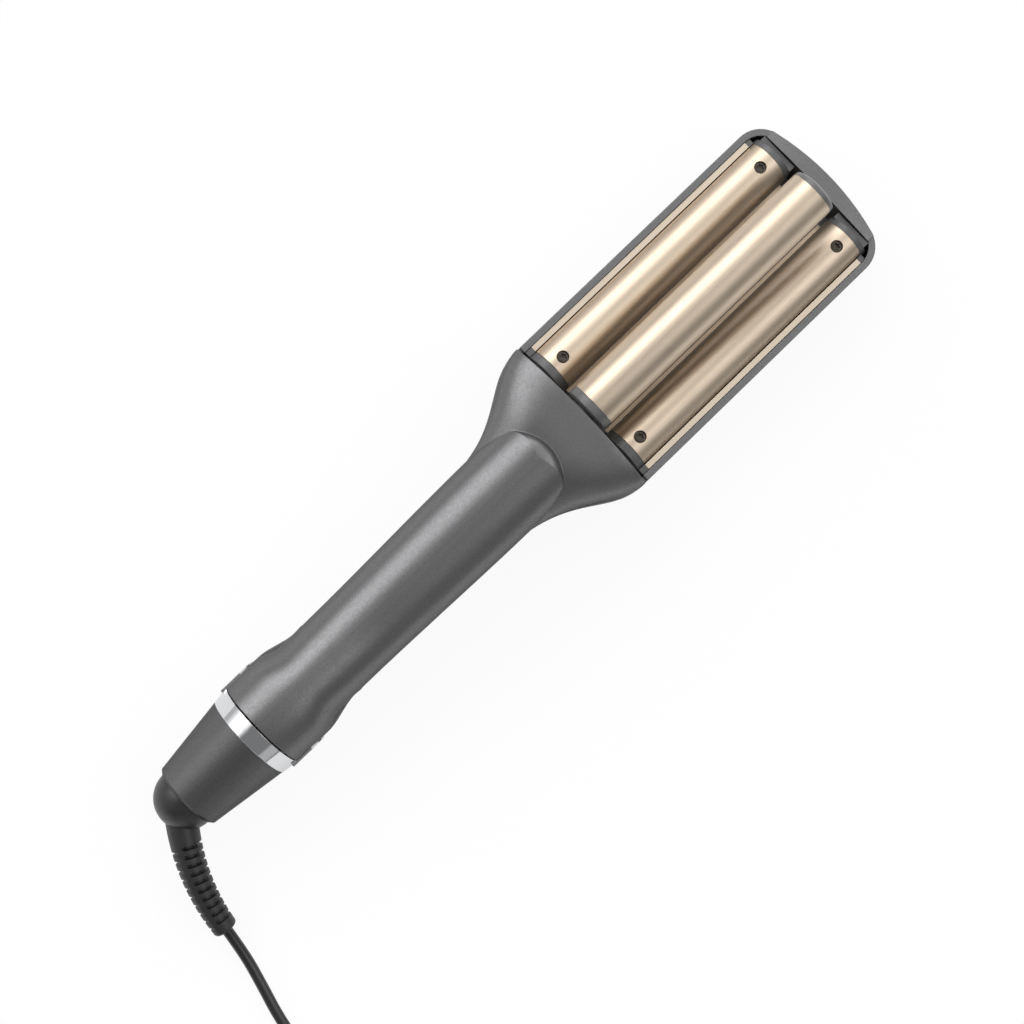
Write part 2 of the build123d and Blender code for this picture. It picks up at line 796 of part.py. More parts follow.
coil_half_width = coil_columns * cord_radius + 0.1
with BuildPart() as cord_coil:
    with BuildSketch(Plane(origin=(*coil_centre, 0), x_dir=(1, 0, 0), z_dir=(0, -1, 0))):
        with Locations((coil_turn_radius, coil_lift + cord_radius * coil_layers)):
            RectangleRounded(2 * coil_half_width, cord_pitch * coil_layers, cord_radius * 0.8)
    revolve(axis=Axis((*coil_centre, 0), (0, 0, 1)))
save(cord_coil, "cord_coil", floor_frame)

tie_plane = Plane(
    origin=(coil_centre[0] - tie_width / 2, coil_centre[1] - coil_turn_radius, 0),
    x_dir=(0, 1, 0),
    z_dir=(1, 0, 0),
)
tie_bore = 2 * (coil_half_width + tie_side_gap)

with BuildPart() as cord_tie:
    with BuildSketch(tie_plane):
        with Locations((0, (coil_top_z + tie_thickness + tie_top_gap) / 2)):
            Rectangle(tie_bore + 2 * tie_thickness, coil_top_z + tie_thickness + tie_top_gap)
        with Locations((0, (coil_lift + coil_top_z) / 2)):
            Rectangle(tie_bore, coil_top_z - coil_lift + 2 * tie_top_gap, mode=Mode.SUBTRACT)
    extrude(amount=tie_width)
save(cord_tie, "cord_tie", floor_frame)

plug_start = Vector(lead_points[-1])
plug_axis = plug_start - Vector(lead_points[-2])
plug_axis = Vector(plug_axis.X, plug_axis.Y, 0).normalized()
plug_plane = Plane(origin=plug_start, x_dir=plug_axis.cross(Vector(0, 0, 1)), z_dir=plug_axis)

with BuildPart() as plug_body:
    with BuildSketch(plug_plane):
        Circle(plug_root_radius)
    with BuildSketch(plug_plane.offset(plug_neck_length)):
        Circle(plug_neck_radius)
    loft()
    with BuildSketch(plug_plane.offset(plug_neck_length)):
        RectangleRounded(2 * plug_rear_half_width, 2 * plug_rear_half_height, plug_corner)
    with BuildSketch(plug_plane.offset(plug_neck_length + plug_body_length)):
        RectangleRounded(2 * plug_half_width, 2 * plug_half_height, plug_corner)
    loft()
save(plug_body, "plug_body", floor_frame)

with BuildPart() as plug_blades:
    with BuildSketch(plug_plane.offset(plug_neck_length + plug_body_length)):
        with GridLocations(blade_spacing, 0, 2, 1):
            Rectangle(blade_thickness, blade_width)
    extrude(amount=blade_length)
save(plug_blades, "plug_blades", floor_frame)

# ---- back arm -----------------------------------------------------------------------------------

back_screw_x = [36.0, 118.0]
bump_x = 124.0
bump_y = 11.5
bump_radius = 2.5
plate_mean_radius = barrel_radius - barrel_wall / 2
base_top = -14.5
base_bottom = -16.5
block_start = tray_start + 0.3
ledge_inner = strip_inner - 0.15
strip_floor = strip_top - strip_thickness - snug
outer_shoe_start = 178.0
outer_shoe_end = tray_tip - 24.9
shoe_flat = -3.4
heater_floor = -8.3
heater_margin = 4.0
leaf_thickness = 0.4
leaf_half_width = 4.0
leaf_end = 8.0  # flat stretch at each end of a leaf spring
leaf_rise = 26.0  # from each end to where the leaf spring presses the heater
sensor_length = 12.0
hatch_start = socket_start - 1.6
hatch_half_width = socket_half_width + 1.0
knuckle_inner = 6.0  # where each knuckle starts out from the middle
board_post_radius = 2.2
pad_depth = 1.0  # of each bump pad's seat


def tray_outline(inset, start):
    """Plan outline of the tray from a station to its crowned tip, drawn in by inset."""
    half = tray_half_width - inset
    crown = tip_crown_radius - inset
    shoulder = tray_tip - inset - crown + sqrt(crown**2 - half**2)
    with BuildSketch(Plane.XY) as outline:
        with BuildLine():
            Line((start, half), (start, -half))
            Line((start, -half), (shoulder, -half))
            ThreePointArc((shoulder, -half), (tray_tip - inset, 0), (shoulder, half))
            Line((shoulder, half), (start, half))
        make_face()
        fillet(outline.vertices().sort_by(Axis.X)[-2:], tip_corner_radius - inset)
    return outline.sketch


def pocket_outline(inset, start):
    """Plan outline of the tray's pocket: it reaches into the corners beside the thick tip wall."""
    with BuildSketch(Plane.XY) as outline:
        add(tray_outline(rim_wall + inset, start))
        with Locations((tip_wall_x - inset, 0)):
            Rectangle(
                beyond,
                2 * (tip_wall_half_width + inset),
                align=(Align.MIN, Align.CENTER),
                mode=Mode.SUBTRACT,
            )
    return outline.sketch


def back_solid(inset):
    """Solid of the back arm's handle and flare, drawn in by inset."""
    with BuildPart() as body:
        add(handle_body(inset, handle_depth, -1, handle_end, back_swell))
        add(back_flare(inset))
    return body.part


panel_face = -half_gap - handle_depth + panel_recess
panel_back = panel_face + panel_thickness
board_bottom = -11.4
board_top = board_bottom + board_thickness
post_x = [48.0, 108.0]
back_screw_length = 9.0

with BuildPart() as tray:
    with BuildSketch(Plane.XY.offset(-tray_depth)):
        add(tray_outline(0, tray_start))
    extrude(amount=tray_depth + rim_top)
    fillet(tray.faces().sort_by(Axis.Z)[0].edges().sort_by(Axis.X)[1:], tray_edge_radius)
    with BuildSketch(Plane.XY.offset(-tray_depth + tray_floor)):
        add(pocket_outline(0, tray_start - 1))
    extrude(amount=beyond, mode=Mode.SUBTRACT)

with BuildPart() as tip_ramp:
    # The ramp falls to the crowned tip like a shallow cone, so its inner edge is highest in the middle.
    with BuildSketch(Plane(origin=(tray_tip - tip_crown_radius, 0, 0), x_dir=(1, 0, 0), z_dir=(0, -1, 0))):
        with BuildLine():
            Polyline(
                (0, 0),
                (tip_crown_radius, 0),
                (tip_crown_radius, rim_top),
                (tip_wall_x - tray_tip + tip_crown_radius, tip_wall_height),
                (0, tip_wall_height),
                close=True,
            )
        make_face()
    revolve(axis=Axis((tray_tip - tip_crown_radius, 0, 0), (0, 0, 1)))
    block(tip_wall_x, tray_tip + 1, -tip_wall_half_width, tip_wall_half_width, 0, beyond, Mode.INTERSECT)

with BuildPart() as back_posts:
    for x in back_screw_x:
        with Locations((x, 0, -half_gap - liner_thickness)):
            Cylinder(post_radius, beyond, align=(Align.CENTER, Align.CENTER, Align.MAX))
    add(back_solid(wall / 2), mode=Mode.INTERSECT)
    for x in back_screw_x:
        with Locations((x, 0, -back_screw_length)):
            Cylinder(screw_shaft_radius, back_screw_length, align=low, mode=Mode.SUBTRACT)

with BuildPart() as back_shell:
    add(back_solid(0))
    add(back_solid(wall), mode=Mode.SUBTRACT)
    split(bisect_by=Plane(origin=(shell_end / cos(tilt), 0, 0), z_dir=(cos(tilt), 0, sin(tilt))))
    add(back_posts.part)
    add(tray.part)
    add(tip_ramp.part)
    opened = Location((0, 0, 0), (0, -rest_opening, 0))
    add(slab(2 * shell_end, 0, -half_gap, beyond).moved(opened), mode=Mode.SUBTRACT)
    add(cheek_pocket.part, mode=Mode.SUBTRACT)
    add(cheek_pocket.part.moved(opened), mode=Mode.SUBTRACT)
    with Locations(Plane.XZ):
        Cylinder(pin_radius + slide_gap, 2 * beyond, mode=Mode.SUBTRACT)
    with BuildSketch(Plane.XY.offset(-tray_depth)):
        with Locations((panel_x, 0)):
            SlotOverall(panel_length, 2 * panel_half_width)
    extrude(amount=tray_depth - handle_depth / 2, mode=Mode.SUBTRACT)
save(back_shell, "back_shell", lying)

pad_seats = [(bump_x, y, -half_gap - pad_depth) for y in (bump_y, -bump_y)]

with BuildPart() as back_liner:
    add(back_solid(wall + fit))
    add(slab(liner_start, tray_start - 1.1, -half_gap - liner_thickness, -half_gap), mode=Mode.INTERSECT)
    block(hatch_start, tray_start, -hatch_half_width, hatch_half_width, -handle_depth, 0, Mode.SUBTRACT)
    for y in (knuckle_inner, -knuckle_inner - knuckle_width):
        with Locations(Plane(origin=(0, y, 0), z_dir=(0, 1, 0))):
            Cylinder(knuckle_radius, knuckle_width, align=low)
        block(0, liner_start + 2, y, y + knuckle_width, -knuckle_radius, -half_gap)
    with Locations(Plane.XZ):
        Cylinder(pin_radius + pin_gap, 2 * beyond, mode=Mode.SUBTRACT)
    with Locations((spring_x, 0, -half_gap - spring_seat - liner_thickness)):
        Cylinder(spring_cup_radius + spring_cup_wall, spring_seat, align=low)
    with Locations((spring_x, 0, -half_gap - spring_seat)):
        Cylinder(spring_cup_radius, spring_seat, align=low, mode=Mode.SUBTRACT)
    for x in post_x:
        with Locations((x, 0, board_top)):
            Cylinder(board_post_radius, -half_gap - 1 - board_top, align=low)
    for x in back_screw_x:
        with Locations((x, 0, -half_gap - liner_head_depth)):
            Cylinder(liner_screw_head + snug, liner_head_depth, align=low, mode=Mode.SUBTRACT)
        with Locations((x, 0, -half_gap - 2 * liner_thickness)):
            Cylinder(screw_shaft_radius + snug, 2 * liner_thickness, align=low, mode=Mode.SUBTRACT)
    with Locations(*pad_seats):
        Cylinder(bump_radius + snug, 2 * pad_depth, align=low, mode=Mode.SUBTRACT)
save(back_liner, "back_liner", lying)

with BuildPart() as back_liner_screws:
    for x in back_screw_x:
        with Locations((x, 0, -half_gap - liner_head_depth)):
            Cylinder(liner_screw_head, liner_head_depth, align=low)
        with Locations((x, 0, -back_screw_length + screw_tip_gap)):
            Cylinder(screw_shaft_radius - snug, back_screw_length - liner_head_depth, align=low)
save(back_liner_screws, "back_liner_screws", lying)

with BuildPart() as bump_pads:
    with Locations(*pad_seats):
        Cylinder(bump_radius, pad_depth + parting_gap - snug, align=low)
save(bump_pads, "bump_pads", lying)

spring_low = -half_gap - spring_seat
spring_top = spring_x * sin(tilt) + (half_gap + spring_seat) * cos(tilt) - spring_radius * sin(tilt)
spring_mean = spring_radius - spring_wire

with BuildPart() as opening_spring:
    spring_height = spring_top - spring_low - 2 * spring_wire
    spring_base = (spring_x, 0, spring_low + spring_wire)
    with BuildLine() as helix:
        Helix(spring_height / spring_turns, spring_height, spring_mean, center=spring_base)
    with BuildSketch(Plane(origin=helix.line @ 0, z_dir=helix.line % 0)):
        Circle(spring_wire)
    sweep(path=helix.wires()[0], is_frenet=True)
save(opening_spring, "opening_spring", lying)

# ---- outer barrels and their carrier ------------------------------------------------------------

end_round = cap_radius
trough_half_width = 10.8
trough_z = -13.4
post_top = barrel_z + barrel_radius - 3.35
screw_seat = post_top + 1.0
screw_post_radius = 3.4
near_block_end = plate_start - 0.1
far_block = [plate_end + 0.1, tip_wall_x - 2.8]
stop_half_width = [12.3, 29.0]
stop_top = 3.0
stop_end = tip_wall_x - 0.3
carrier_half_width = tray_half_width - rim_wall - fit
foot_radius = 3.0
foot_x = [184.0, tray_tip - 29.9]
foot_y = 23.0
face_screw_places = [(x, y) for x in (screw_near_x, screw_far_x) for y in (barrel_pitch, -barrel_pitch)]

with BuildPart() as barrel_carrier:
    with BuildSketch(Plane.XY.offset(base_bottom)):
        add(pocket_outline(fit, block_start))
    extrude(amount=base_top - base_bottom)
    for side in (1, -1):
        edge = side * carrier_half_width
        inner = side * ledge_inner
        block(block_start, strip_end, min(edge, inner), max(edge, inner), base_bottom, strip_floor)
        block(strip_end + snug, far_block[0], min(edge, inner), max(edge, inner), base_bottom, strip_top)
        block(block_start, strip_start - snug, min(edge, inner), max(edge, inner), base_bottom, strip_top)
        centre = side * barrel_pitch
        for start, end in ([block_start, near_block_end], far_block):
            with Locations(Plane(origin=(start, centre, barrel_z), z_dir=(1, 0, 0))):
                Cylinder(end_round, end - start, align=low)
            block(start, end, centre - end_round, centre + end_round, base_bottom, barrel_z)
        stops = sorted(side * reach for reach in stop_half_width)
        block(far_block[1] - 0.2, stop_end, *stops, base_bottom, stop_top)
        for x in (screw_near_x, screw_far_x):
            with Locations((x, centre, base_bottom)):
                Cylinder(screw_post_radius, post_top - base_bottom, align=low)
    block(0, tray_tip, -trough_half_width, trough_half_width, trough_z, beyond, Mode.SUBTRACT)
    with BuildSketch(Plane.XY.offset(base_bottom)):
        add(pocket_outline(fit, block_start))
    extrude(amount=beyond, mode=Mode.INTERSECT)
    with Locations(*[(x, y, tray_floor - tray_depth) for x in foot_x for y in (foot_y, -foot_y)]):
        Cylinder(foot_radius, base_bottom + 1 + tray_depth - tray_floor, align=low)
    with Locations(*[(x, y, screw_seat - screw_length) for x, y in face_screw_places]):
        Cylinder(screw_shaft_radius, beyond, align=low, mode=Mode.SUBTRACT)
save(barrel_carrier, "barrel_carrier", lying)


def screw_bosses(side):
    """Bosses under an outer barrel's crest where its two screws pass."""
    centre = side * barrel_pitch
    with BuildPart() as bosses:
        with Locations((screw_near_x, centre, post_top), (screw_far_x, centre, post_top)):
            Cylinder(screw_post_radius, barrel_radius, align=low)
        with Locations(Plane(origin=(plate_start, centre, barrel_z), z_dir=(1, 0, 0))):
            Cylinder(plate_mean_radius, plate_end - plate_start, align=low, mode=Mode.INTERSECT)
    return bosses.part


def outer_plate(side):
    """Outer half-barrel: from the side strip over the crest and down the inner flank to a small lip."""
    turn = radians(barrel_outer_angle)
    centre = side * barrel_pitch
    inner = centre - side * plate_mean_radius
    with BuildPart() as plate:
        with BuildSketch(Plane(origin=(plate_start, 0, 0), x_dir=(0, 1, 0), z_dir=(1, 0, 0))):
            with BuildLine():
                ThreePointArc(
                    (centre + side * plate_mean_radius * sin(turn), barrel_z + plate_mean_radius * cos(turn)),
                    (centre, barrel_z + plate_mean_radius),
                    (inner, barrel_z),
                )
                Line((inner, barrel_z), (inner, lip_z))
                Line((inner, lip_z), (inner - side * lip_reach, lip_z))
            trace(line_width=barrel_wall)
        extrude(amount=plate_end - plate_start)
        add(screw_bosses(side))
        with Locations((screw_near_x, centre, screw_seat), (screw_far_x, centre, screw_seat)):
            Cylinder(screw_head_radius + fit, barrel_radius, align=low, mode=Mode.SUBTRACT)
        with Locations((screw_near_x, centre, post_top), (screw_far_x, centre, post_top)):
            Cylinder(screw_shaft_radius + fit, screw_seat - post_top + fit, align=low, mode=Mode.SUBTRACT)
    return plate


def side_strip(side):
    """Flat metal strip between an outer barrel and the rim."""
    with BuildPart() as strip:
        limits = sorted((side * strip_inner, side * strip_outer))
        block(strip_start, strip_end, *limits, strip_top - strip_thickness, strip_top)
    return strip


def outer_shoe(side):
    """Heat-spreading shoe that fills the crest of an outer barrel."""
    centre = side * barrel_pitch
    bore = barrel_radius - barrel_wall - snug
    with BuildPart() as shoe:
        with Locations(Plane(origin=(outer_shoe_start, centre, barrel_z), z_dir=(1, 0, 0))):
            Cylinder(bore, outer_shoe_end - outer_shoe_start, align=low)
        limits = sorted((centre - side * bore, side * (ledge_inner - fit)))
        block(outer_shoe_start, outer_shoe_end, *limits, shoe_flat, barrel_radius, Mode.INTERSECT)
        with Locations(Plane(origin=(outer_shoe_start, centre, 0), z_dir=(1, 0, 0))):
            Cylinder(sensor_radius + snug, sensor_length, align=low, mode=Mode.SUBTRACT)
    return shoe


def outer_heater(side):
    """Flat heating element under a shoe."""
    centre = side * barrel_pitch
    with BuildPart() as heater:
        block(
            outer_shoe_start + heater_margin,
            outer_shoe_end - heater_margin,
            centre - heater_half_width,
            centre + heater_half_width,
            heater_floor,
            shoe_flat - snug,
        )
        fillet(heater.edges().filter_by(Axis.X), heater_round)
    return heater


def heater_spring(side):
    """Bowed leaf spring that presses a heater against its shoe."""
    centre = side * barrel_pitch
    start = outer_shoe_start + heater_margin + 4
    end = outer_shoe_end - heater_margin - 4
    drop = heater_floor - base_top - 2 * snug - leaf_thickness
    with BuildPart() as leaf:
        with BuildSketch(Plane(origin=(0, centre, heater_floor - snug), x_dir=(1, 0, 0), z_dir=(0, -1, 0))):
            with BuildLine():
                Polyline(
                    (start, -drop - leaf_thickness / 2),
                    (start + leaf_end, -drop - leaf_thickness / 2),
                    (start + leaf_rise, -leaf_thickness / 2),
                    (end - leaf_rise, -leaf_thickness / 2),
                    (end - leaf_end, -drop - leaf_thickness / 2),
                    (end, -drop - leaf_thickness / 2),
                )
            trace(line_width=leaf_thickness)
        extrude(amount=leaf_half_width, both=True)
    return leaf


save(outer_plate(1), "left_barrel", lying)
save(outer_plate(-1), "right_barrel", lying)
save(side_strip(1), "left_strip", lying)
save(side_strip(-1), "right_strip", lying)
save(outer_shoe(1), "left_heat_shoe", lying)
save(outer_shoe(-1), "right_heat_shoe", lying)
save(outer_heater(1), "left_heater", lying)
save(outer_heater(-1), "right_heater", lying)
save(heater_spring(1), "left_heater_spring", lying)
save(heater_spring(-1), "right_heater_spring", lying)

with BuildPart() as outer_sensors:
    for y in (barrel_pitch, -barrel_pitch):
        with Locations(Plane(origin=(outer_shoe_start - 1, y, 0), z_dir=(1, 0, 0))):
            Cylinder(sensor_radius, sensor_length, align=low)
save(outer_sensors, "outer_sensors", lying)

head_top = barrel_z + barrel_radius - screw_recess
head_height = head_top - screw_seat

with BuildPart() as face_screws:
    for x, y in face_screw_places:
        with Locations((x, y, screw_seat)):
            Cylinder(screw_head_radius, head_height, align=low)
        with Locations((x, y, screw_seat - screw_length + screw_tip_gap)):
            Cylinder(screw_shaft_radius - snug, screw_length, align=low)
    with BuildSketch(Plane.XY.offset(head_top)):
        with Locations(*face_screw_places):
            RegularPolygon(driver_radius, 6)
    extrude(amount=-driver_depth, mode=Mode.SUBTRACT)
save(face_screws, "face_screws", lying)

fuse_x = 196.0
fuse_radius = 1.8
fuse_length = 11.0

with BuildPart() as thermal_fuse:
    with Locations(Plane(origin=(fuse_x, 0, base_bottom - snug - fuse_radius), z_dir=(1, 0, 0))):
        Cylinder(fuse_radius, fuse_length, align=low)
    fillet(thermal_fuse.edges(), 0.4)
save(thermal_fuse, "thermal_fuse", lying)

# ---- controls -----------------------------------------------------------------------------------

window_depth = 0.9
window_ledge = 1.0  # width of the step the window rests on
button_flange = 1.0  # how far a button's flange reaches past its cap
button_round = 0.5
stem_radius = 1.5
button_seat = panel_back + snug
flange_thickness = 1.0
switch_bottom = board_bottom - switch_height

with BuildPart() as control_panel:
    with BuildSketch(Plane.XY.offset(panel_face)):
        with Locations((panel_x, 0)):
            SlotOverall(panel_length - 2 * fit, 2 * (panel_half_width - fit))
    extrude(amount=panel_thickness)
    with BuildSketch(Plane.XY.offset(panel_face)):
        with Locations((window_x, 0)):
            RectangleRounded(window_length, window_width, 1)
    extrude(amount=window_depth, mode=Mode.SUBTRACT)
    with BuildSketch(Plane.XY.offset(panel_face)):
        with Locations((window_x, 0)):
            RectangleRounded(window_length - 2 * window_ledge, window_width - 2 * window_ledge, 0.6)
        for x in button_x:
            with Locations((x, 0)):
                Circle(button_radius + slide_gap)
    extrude(amount=panel_thickness, mode=Mode.SUBTRACT)
save(control_panel, "control_panel", lying)

with BuildPart() as display_window:
    with BuildSketch(Plane.XY.offset(panel_face)):
        with Locations((window_x, 0)):
            RectangleRounded(window_length - 2 * snug, window_width - 2 * snug, 0.9)
    extrude(amount=window_depth - snug)
save(display_window, "display_window", lying)

with BuildPart() as display_module:
    with Locations((window_x, 0, panel_back + snug)):
        Box(window_length - 2 * window_ledge, window_width, board_bottom - panel_back - snug, align=low)
save(display_module, "display_module", lying)

with BuildPart() as control_board:
    with Locations((panel_x, 0, board_bottom)):
        Box(board_length, 2 * board_half_width, board_thickness, align=low)
save(control_board, "control_board", lying)

with BuildPart() as button_switches:
    with Locations(*[(x, 0, switch_bottom) for x in button_x]):
        Box(switch_size, switch_size, switch_height, align=low)
save(button_switches, "button_switches", lying)


def button(x):
    """Button cap with an inner flange and a stem that stops just short of its switch."""
    with BuildPart() as cap:
        with Locations((x, 0, panel_face - button_proud)):
            Cylinder(button_radius, button_seat - panel_face + button_proud, align=low)
        fillet(cap.faces().sort_by(Axis.Z)[0].edges(), button_round)
        with Locations((x, 0, button_seat)):
            Cylinder(button_radius + button_flange, flange_thickness, align=low)
            Cylinder(stem_radius, switch_bottom - button_seat - button_travel - snug, align=low)
    return cap


save(button(button_x[2]), "power_button", lying)
save(button(button_x[1]), "plus_button", lying)
save(button(button_x[0]), "minus_button", lying)

lead_under_board = board_bottom - lead_radius
lead_under_base = base_bottom - lead_radius
back_lead_start = 105.5
back_lead_end = 186.0

with BuildPart() as back_leads:
    for y in (4.0, -4.0):
        with BuildLine() as route:
            FilletPolyline(
                (back_lead_start, y, lead_under_board),
                (126, y, lead_under_board),
                (152, y, lead_under_base),
                (back_lead_end, y, lead_under_base),
                radius=6,
            )
        with BuildSketch(Plane(origin=(back_lead_start, y, lead_under_board), z_dir=(1, 0, 0))):
            Circle(lead_radius)
        sweep(path=route.wires()[0])
save(back_leads, "back_leads", lying)
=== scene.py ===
"""Triple-barrel hair waver: finishes, fine pieces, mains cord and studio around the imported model.

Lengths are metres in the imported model's own frame, unless a name ends in _mm.
"""

from __future__ import annotations

import json
import logging
import math
from dataclasses import dataclass, field
from enum import Enum
from typing import ClassVar

import bmesh
import bpy
from mathutils import Matrix, Vector

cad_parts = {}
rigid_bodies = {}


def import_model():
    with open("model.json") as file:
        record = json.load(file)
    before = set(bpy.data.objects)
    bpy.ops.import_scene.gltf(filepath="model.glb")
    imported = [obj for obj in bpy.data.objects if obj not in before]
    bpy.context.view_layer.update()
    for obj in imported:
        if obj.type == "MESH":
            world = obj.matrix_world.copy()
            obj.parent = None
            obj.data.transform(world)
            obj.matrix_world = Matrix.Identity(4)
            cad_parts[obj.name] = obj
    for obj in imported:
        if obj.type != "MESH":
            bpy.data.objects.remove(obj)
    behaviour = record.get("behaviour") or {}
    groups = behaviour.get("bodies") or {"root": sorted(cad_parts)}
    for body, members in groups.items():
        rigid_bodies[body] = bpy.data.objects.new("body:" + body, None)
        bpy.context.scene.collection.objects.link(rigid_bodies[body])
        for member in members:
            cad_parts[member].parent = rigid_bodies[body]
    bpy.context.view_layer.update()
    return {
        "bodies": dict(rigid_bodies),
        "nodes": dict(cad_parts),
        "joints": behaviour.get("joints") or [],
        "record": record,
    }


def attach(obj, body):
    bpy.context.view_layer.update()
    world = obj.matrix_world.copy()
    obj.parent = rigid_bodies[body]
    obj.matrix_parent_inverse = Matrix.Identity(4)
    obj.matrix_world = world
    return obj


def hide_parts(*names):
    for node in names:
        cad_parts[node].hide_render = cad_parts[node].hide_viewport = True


LOG = logging.getLogger("hair_waver")
MM = 0.001
UP = Vector((0.0, 0.0, 1.0))

# Short names for the types that most signatures share
Tree = bpy.types.NodeTree
Socket = bpy.types.NodeSocket
Piece = bpy.types.Object
Outline = list[tuple[float, float]]
Inputs = dict[str | int, object]
Pattern = dict[str, Inputs]
Span = tuple[float, float, float]

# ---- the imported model's layout ----

HINGE = Vector((-0.119329, 0.0, 0.023894))
OPENING = math.radians(6.0)
ARM_DIRECTION = Vector((math.cos(OPENING), 0.0, math.sin(OPENING)))
ARM_NORMAL = Vector((-math.sin(OPENING), 0.0, math.cos(OPENING)))


def back_point(x_mm: float, y_mm: float, z_mm: float) -> Vector:
    """Place a point of the lying back arm's own frame in the model's frame.

    Args:
        x_mm: Distance from the hinge towards the tip.
        y_mm: Distance to the left of the middle.
        z_mm: Height above the back arm's parting plane.

    Returns:
        The point in metres.
    """
    return HINGE + Vector((x_mm, y_mm, z_mm)) * MM


# ---- shader helpers ----


def linear(hex_colour: str) -> tuple[float, float, float, float]:
    """Turn an sRGB hex colour into a linear one.

    Args:
        hex_colour: Six hex digits after a hash sign.

    Returns:
        Red, green, blue and an alpha of 1.
    """
    channels = [int(hex_colour[place : place + 2], 16) / 255 for place in (1, 3, 5)]
    bent = [c / 12.92 if c <= 0.04045 else ((c + 0.055) / 1.055) ** 2.4 for c in channels]
    return (bent[0], bent[1], bent[2], 1.0)


def per_metre(size_mm: float) -> float:
    """Scale of a pattern whose features are size_mm apart."""
    return 1000.0 / size_mm


def add_node(
    tree: Tree, kind: str, inputs: Inputs | None = None, **settings: object
) -> bpy.types.Node:
    """Add a node with its settings, its values and its links.

    Args:
        tree: The node tree that gets the node.
        kind: Blender's name of the node type.
        inputs: A value, or a socket to link from, for each input by name or number.
        **settings: Attributes of the node itself.

    Returns:
        The new node.
    """
    node = tree.nodes.new(kind)
    for name, value in settings.items():
        setattr(node, name, value)
    for name, value in (inputs or {}).items():
        if isinstance(value, Socket):
            tree.links.new(value, node.inputs[name])
        else:
            node.inputs[name].default_value = value
    return node


# ---- finishes ----


@dataclass(frozen=True)
class Finish:
    """A surface finish: one real material and the way its surface was made.

    Attributes:
        name: The material's name in Blender.
        colour: sRGB hex of the surface.
        roughness: Typical roughness of the surface.
        metallic: 1 for bare or plated metal.
        ior: Index of refraction; a metal keeps the default.
        edge_mm: Radius to which its edges are rounded.
        gloss_swing: How far the roughness wanders either way, in a finish whose gloss wanders.
    """

    name: str
    colour: str
    roughness: float
    metallic: float = 0.0
    ior: float = 1.5
    edge_mm: float = 0.25
    gloss_swing: float = 0.05

    # The kind, the output and the settings of the node that drives an input of the shader
    DRIVERS: ClassVar[dict[str, tuple[str, int, dict[str, str]]]] = {
        "Base Color": ("ShaderNodeMix", 2, {"data_type": "RGBA"}),
        "Roughness": ("ShaderNodeMapRange", 0, {}),
        "Normal": ("ShaderNodeBump", 0, {}),
    }

    def build(self) -> bpy.types.Material:
        """Build the finish's Blender material, once.

        Returns:
            The material.
        """
        known = bpy.data.materials.get(self.name)
        if known is not None:
            return known
        material = bpy.data.materials.new(self.name)
        material.use_nodes = True
        tree = material.node_tree
        tree.nodes.clear()
        shader = add_node(tree, "ShaderNodeBsdfPrincipled", self.values())
        add_node(tree, "ShaderNodeOutputMaterial", {"Surface": shader.outputs["BSDF"]})
        place = add_node(tree, "ShaderNodeTexCoord").outputs["Object"]
        edges = {"Radius": self.edge_mm * MM}
        rounding = add_node(tree, "ShaderNodeBevel", edges, samples=4).outputs[0]
        tree.links.new(rounding, shader.inputs["Normal"])
        for name, inputs in self.pattern(tree, place).items():
            kind, output, settings = self.DRIVERS[name]
            if name == "Normal":
                inputs["Normal"] = rounding
            driver = add_node(tree, kind, inputs, **settings)
            tree.links.new(driver.outputs[output], shader.inputs[name])
        material.diffuse_color = linear(self.colour)
        return material

    def values(self) -> Inputs:
        """Shader values that are the same all over the surface."""
        return {
            "Base Color": linear(self.colour),
            "Roughness": self.roughness,
            "Metallic": self.metallic,
            "IOR": self.ior,
        }

    def gloss(self) -> tuple[float, float]:
        """Lowest and highest roughness of the surface."""
        return self.roughness - self.gloss_swing, self.roughness + self.gloss_swing

    def pattern(self, tree: Tree, place: Socket) -> Pattern:
        """Add the surface's own pattern; a plain finish has only its rounded edges.

        Args:
            tree: The material's node tree.
            place: Coordinates in the piece's own frame, in metres.

        Returns:
            The inputs of each driver, by the name of the shader's input.
        """
        return {}


@dataclass(frozen=True)
class MetallicPaint(Finish):
    """Sprayed paint with aluminium flake over moulded ABS: silky sheen, fine sparkle close up."""

    # Real flake is 0.02 to 0.05 mm, too fine to show, so it is drawn at 0.4 mm.
    flake_mm: float = 0.4
    dark_flake: str = "#707071"
    light_flake: str = "#7f7f80"
    peel_mm: float = 1.4
    peel_depth: float = 0.00006
    # The binder over the flake keeps the surface from turning bright where it is seen edge on.
    edge_tint: str = "#a0a0a0"

    def values(self) -> Inputs:
        """Add the binder's tint to the plain values."""
        return super().values() | {"Specular Tint": linear(self.edge_tint)}

    def pattern(self, tree: Tree, place: Socket) -> Pattern:
        """Scatter flake in the colour and the roughness, over a faint orange peel.

        Args:
            tree: The material's node tree.
            place: Coordinates in the piece's own frame, in metres.

        Returns:
            The inputs of each driver, by the name of the shader's input.
        """
        flake = {"Vector": place, "Scale": per_metre(self.flake_mm), "Randomness": 1.0}
        cells = add_node(tree, "ShaderNodeTexVoronoi", flake).outputs["Color"]
        peel = {"Vector": place, "Scale": per_metre(self.peel_mm), "Detail": 3.0}
        height = add_node(tree, "ShaderNodeTexNoise", peel).outputs[0]
        low, high = self.gloss()
        bump = {"Height": height, "Strength": 0.1, "Distance": self.peel_depth}
        return {
            "Base Color": {0: cells, 6: linear(self.dark_flake), 7: linear(self.light_flake)},
            "Roughness": {0: cells, 3: high, 4: low},
            "Normal": bump,
        }


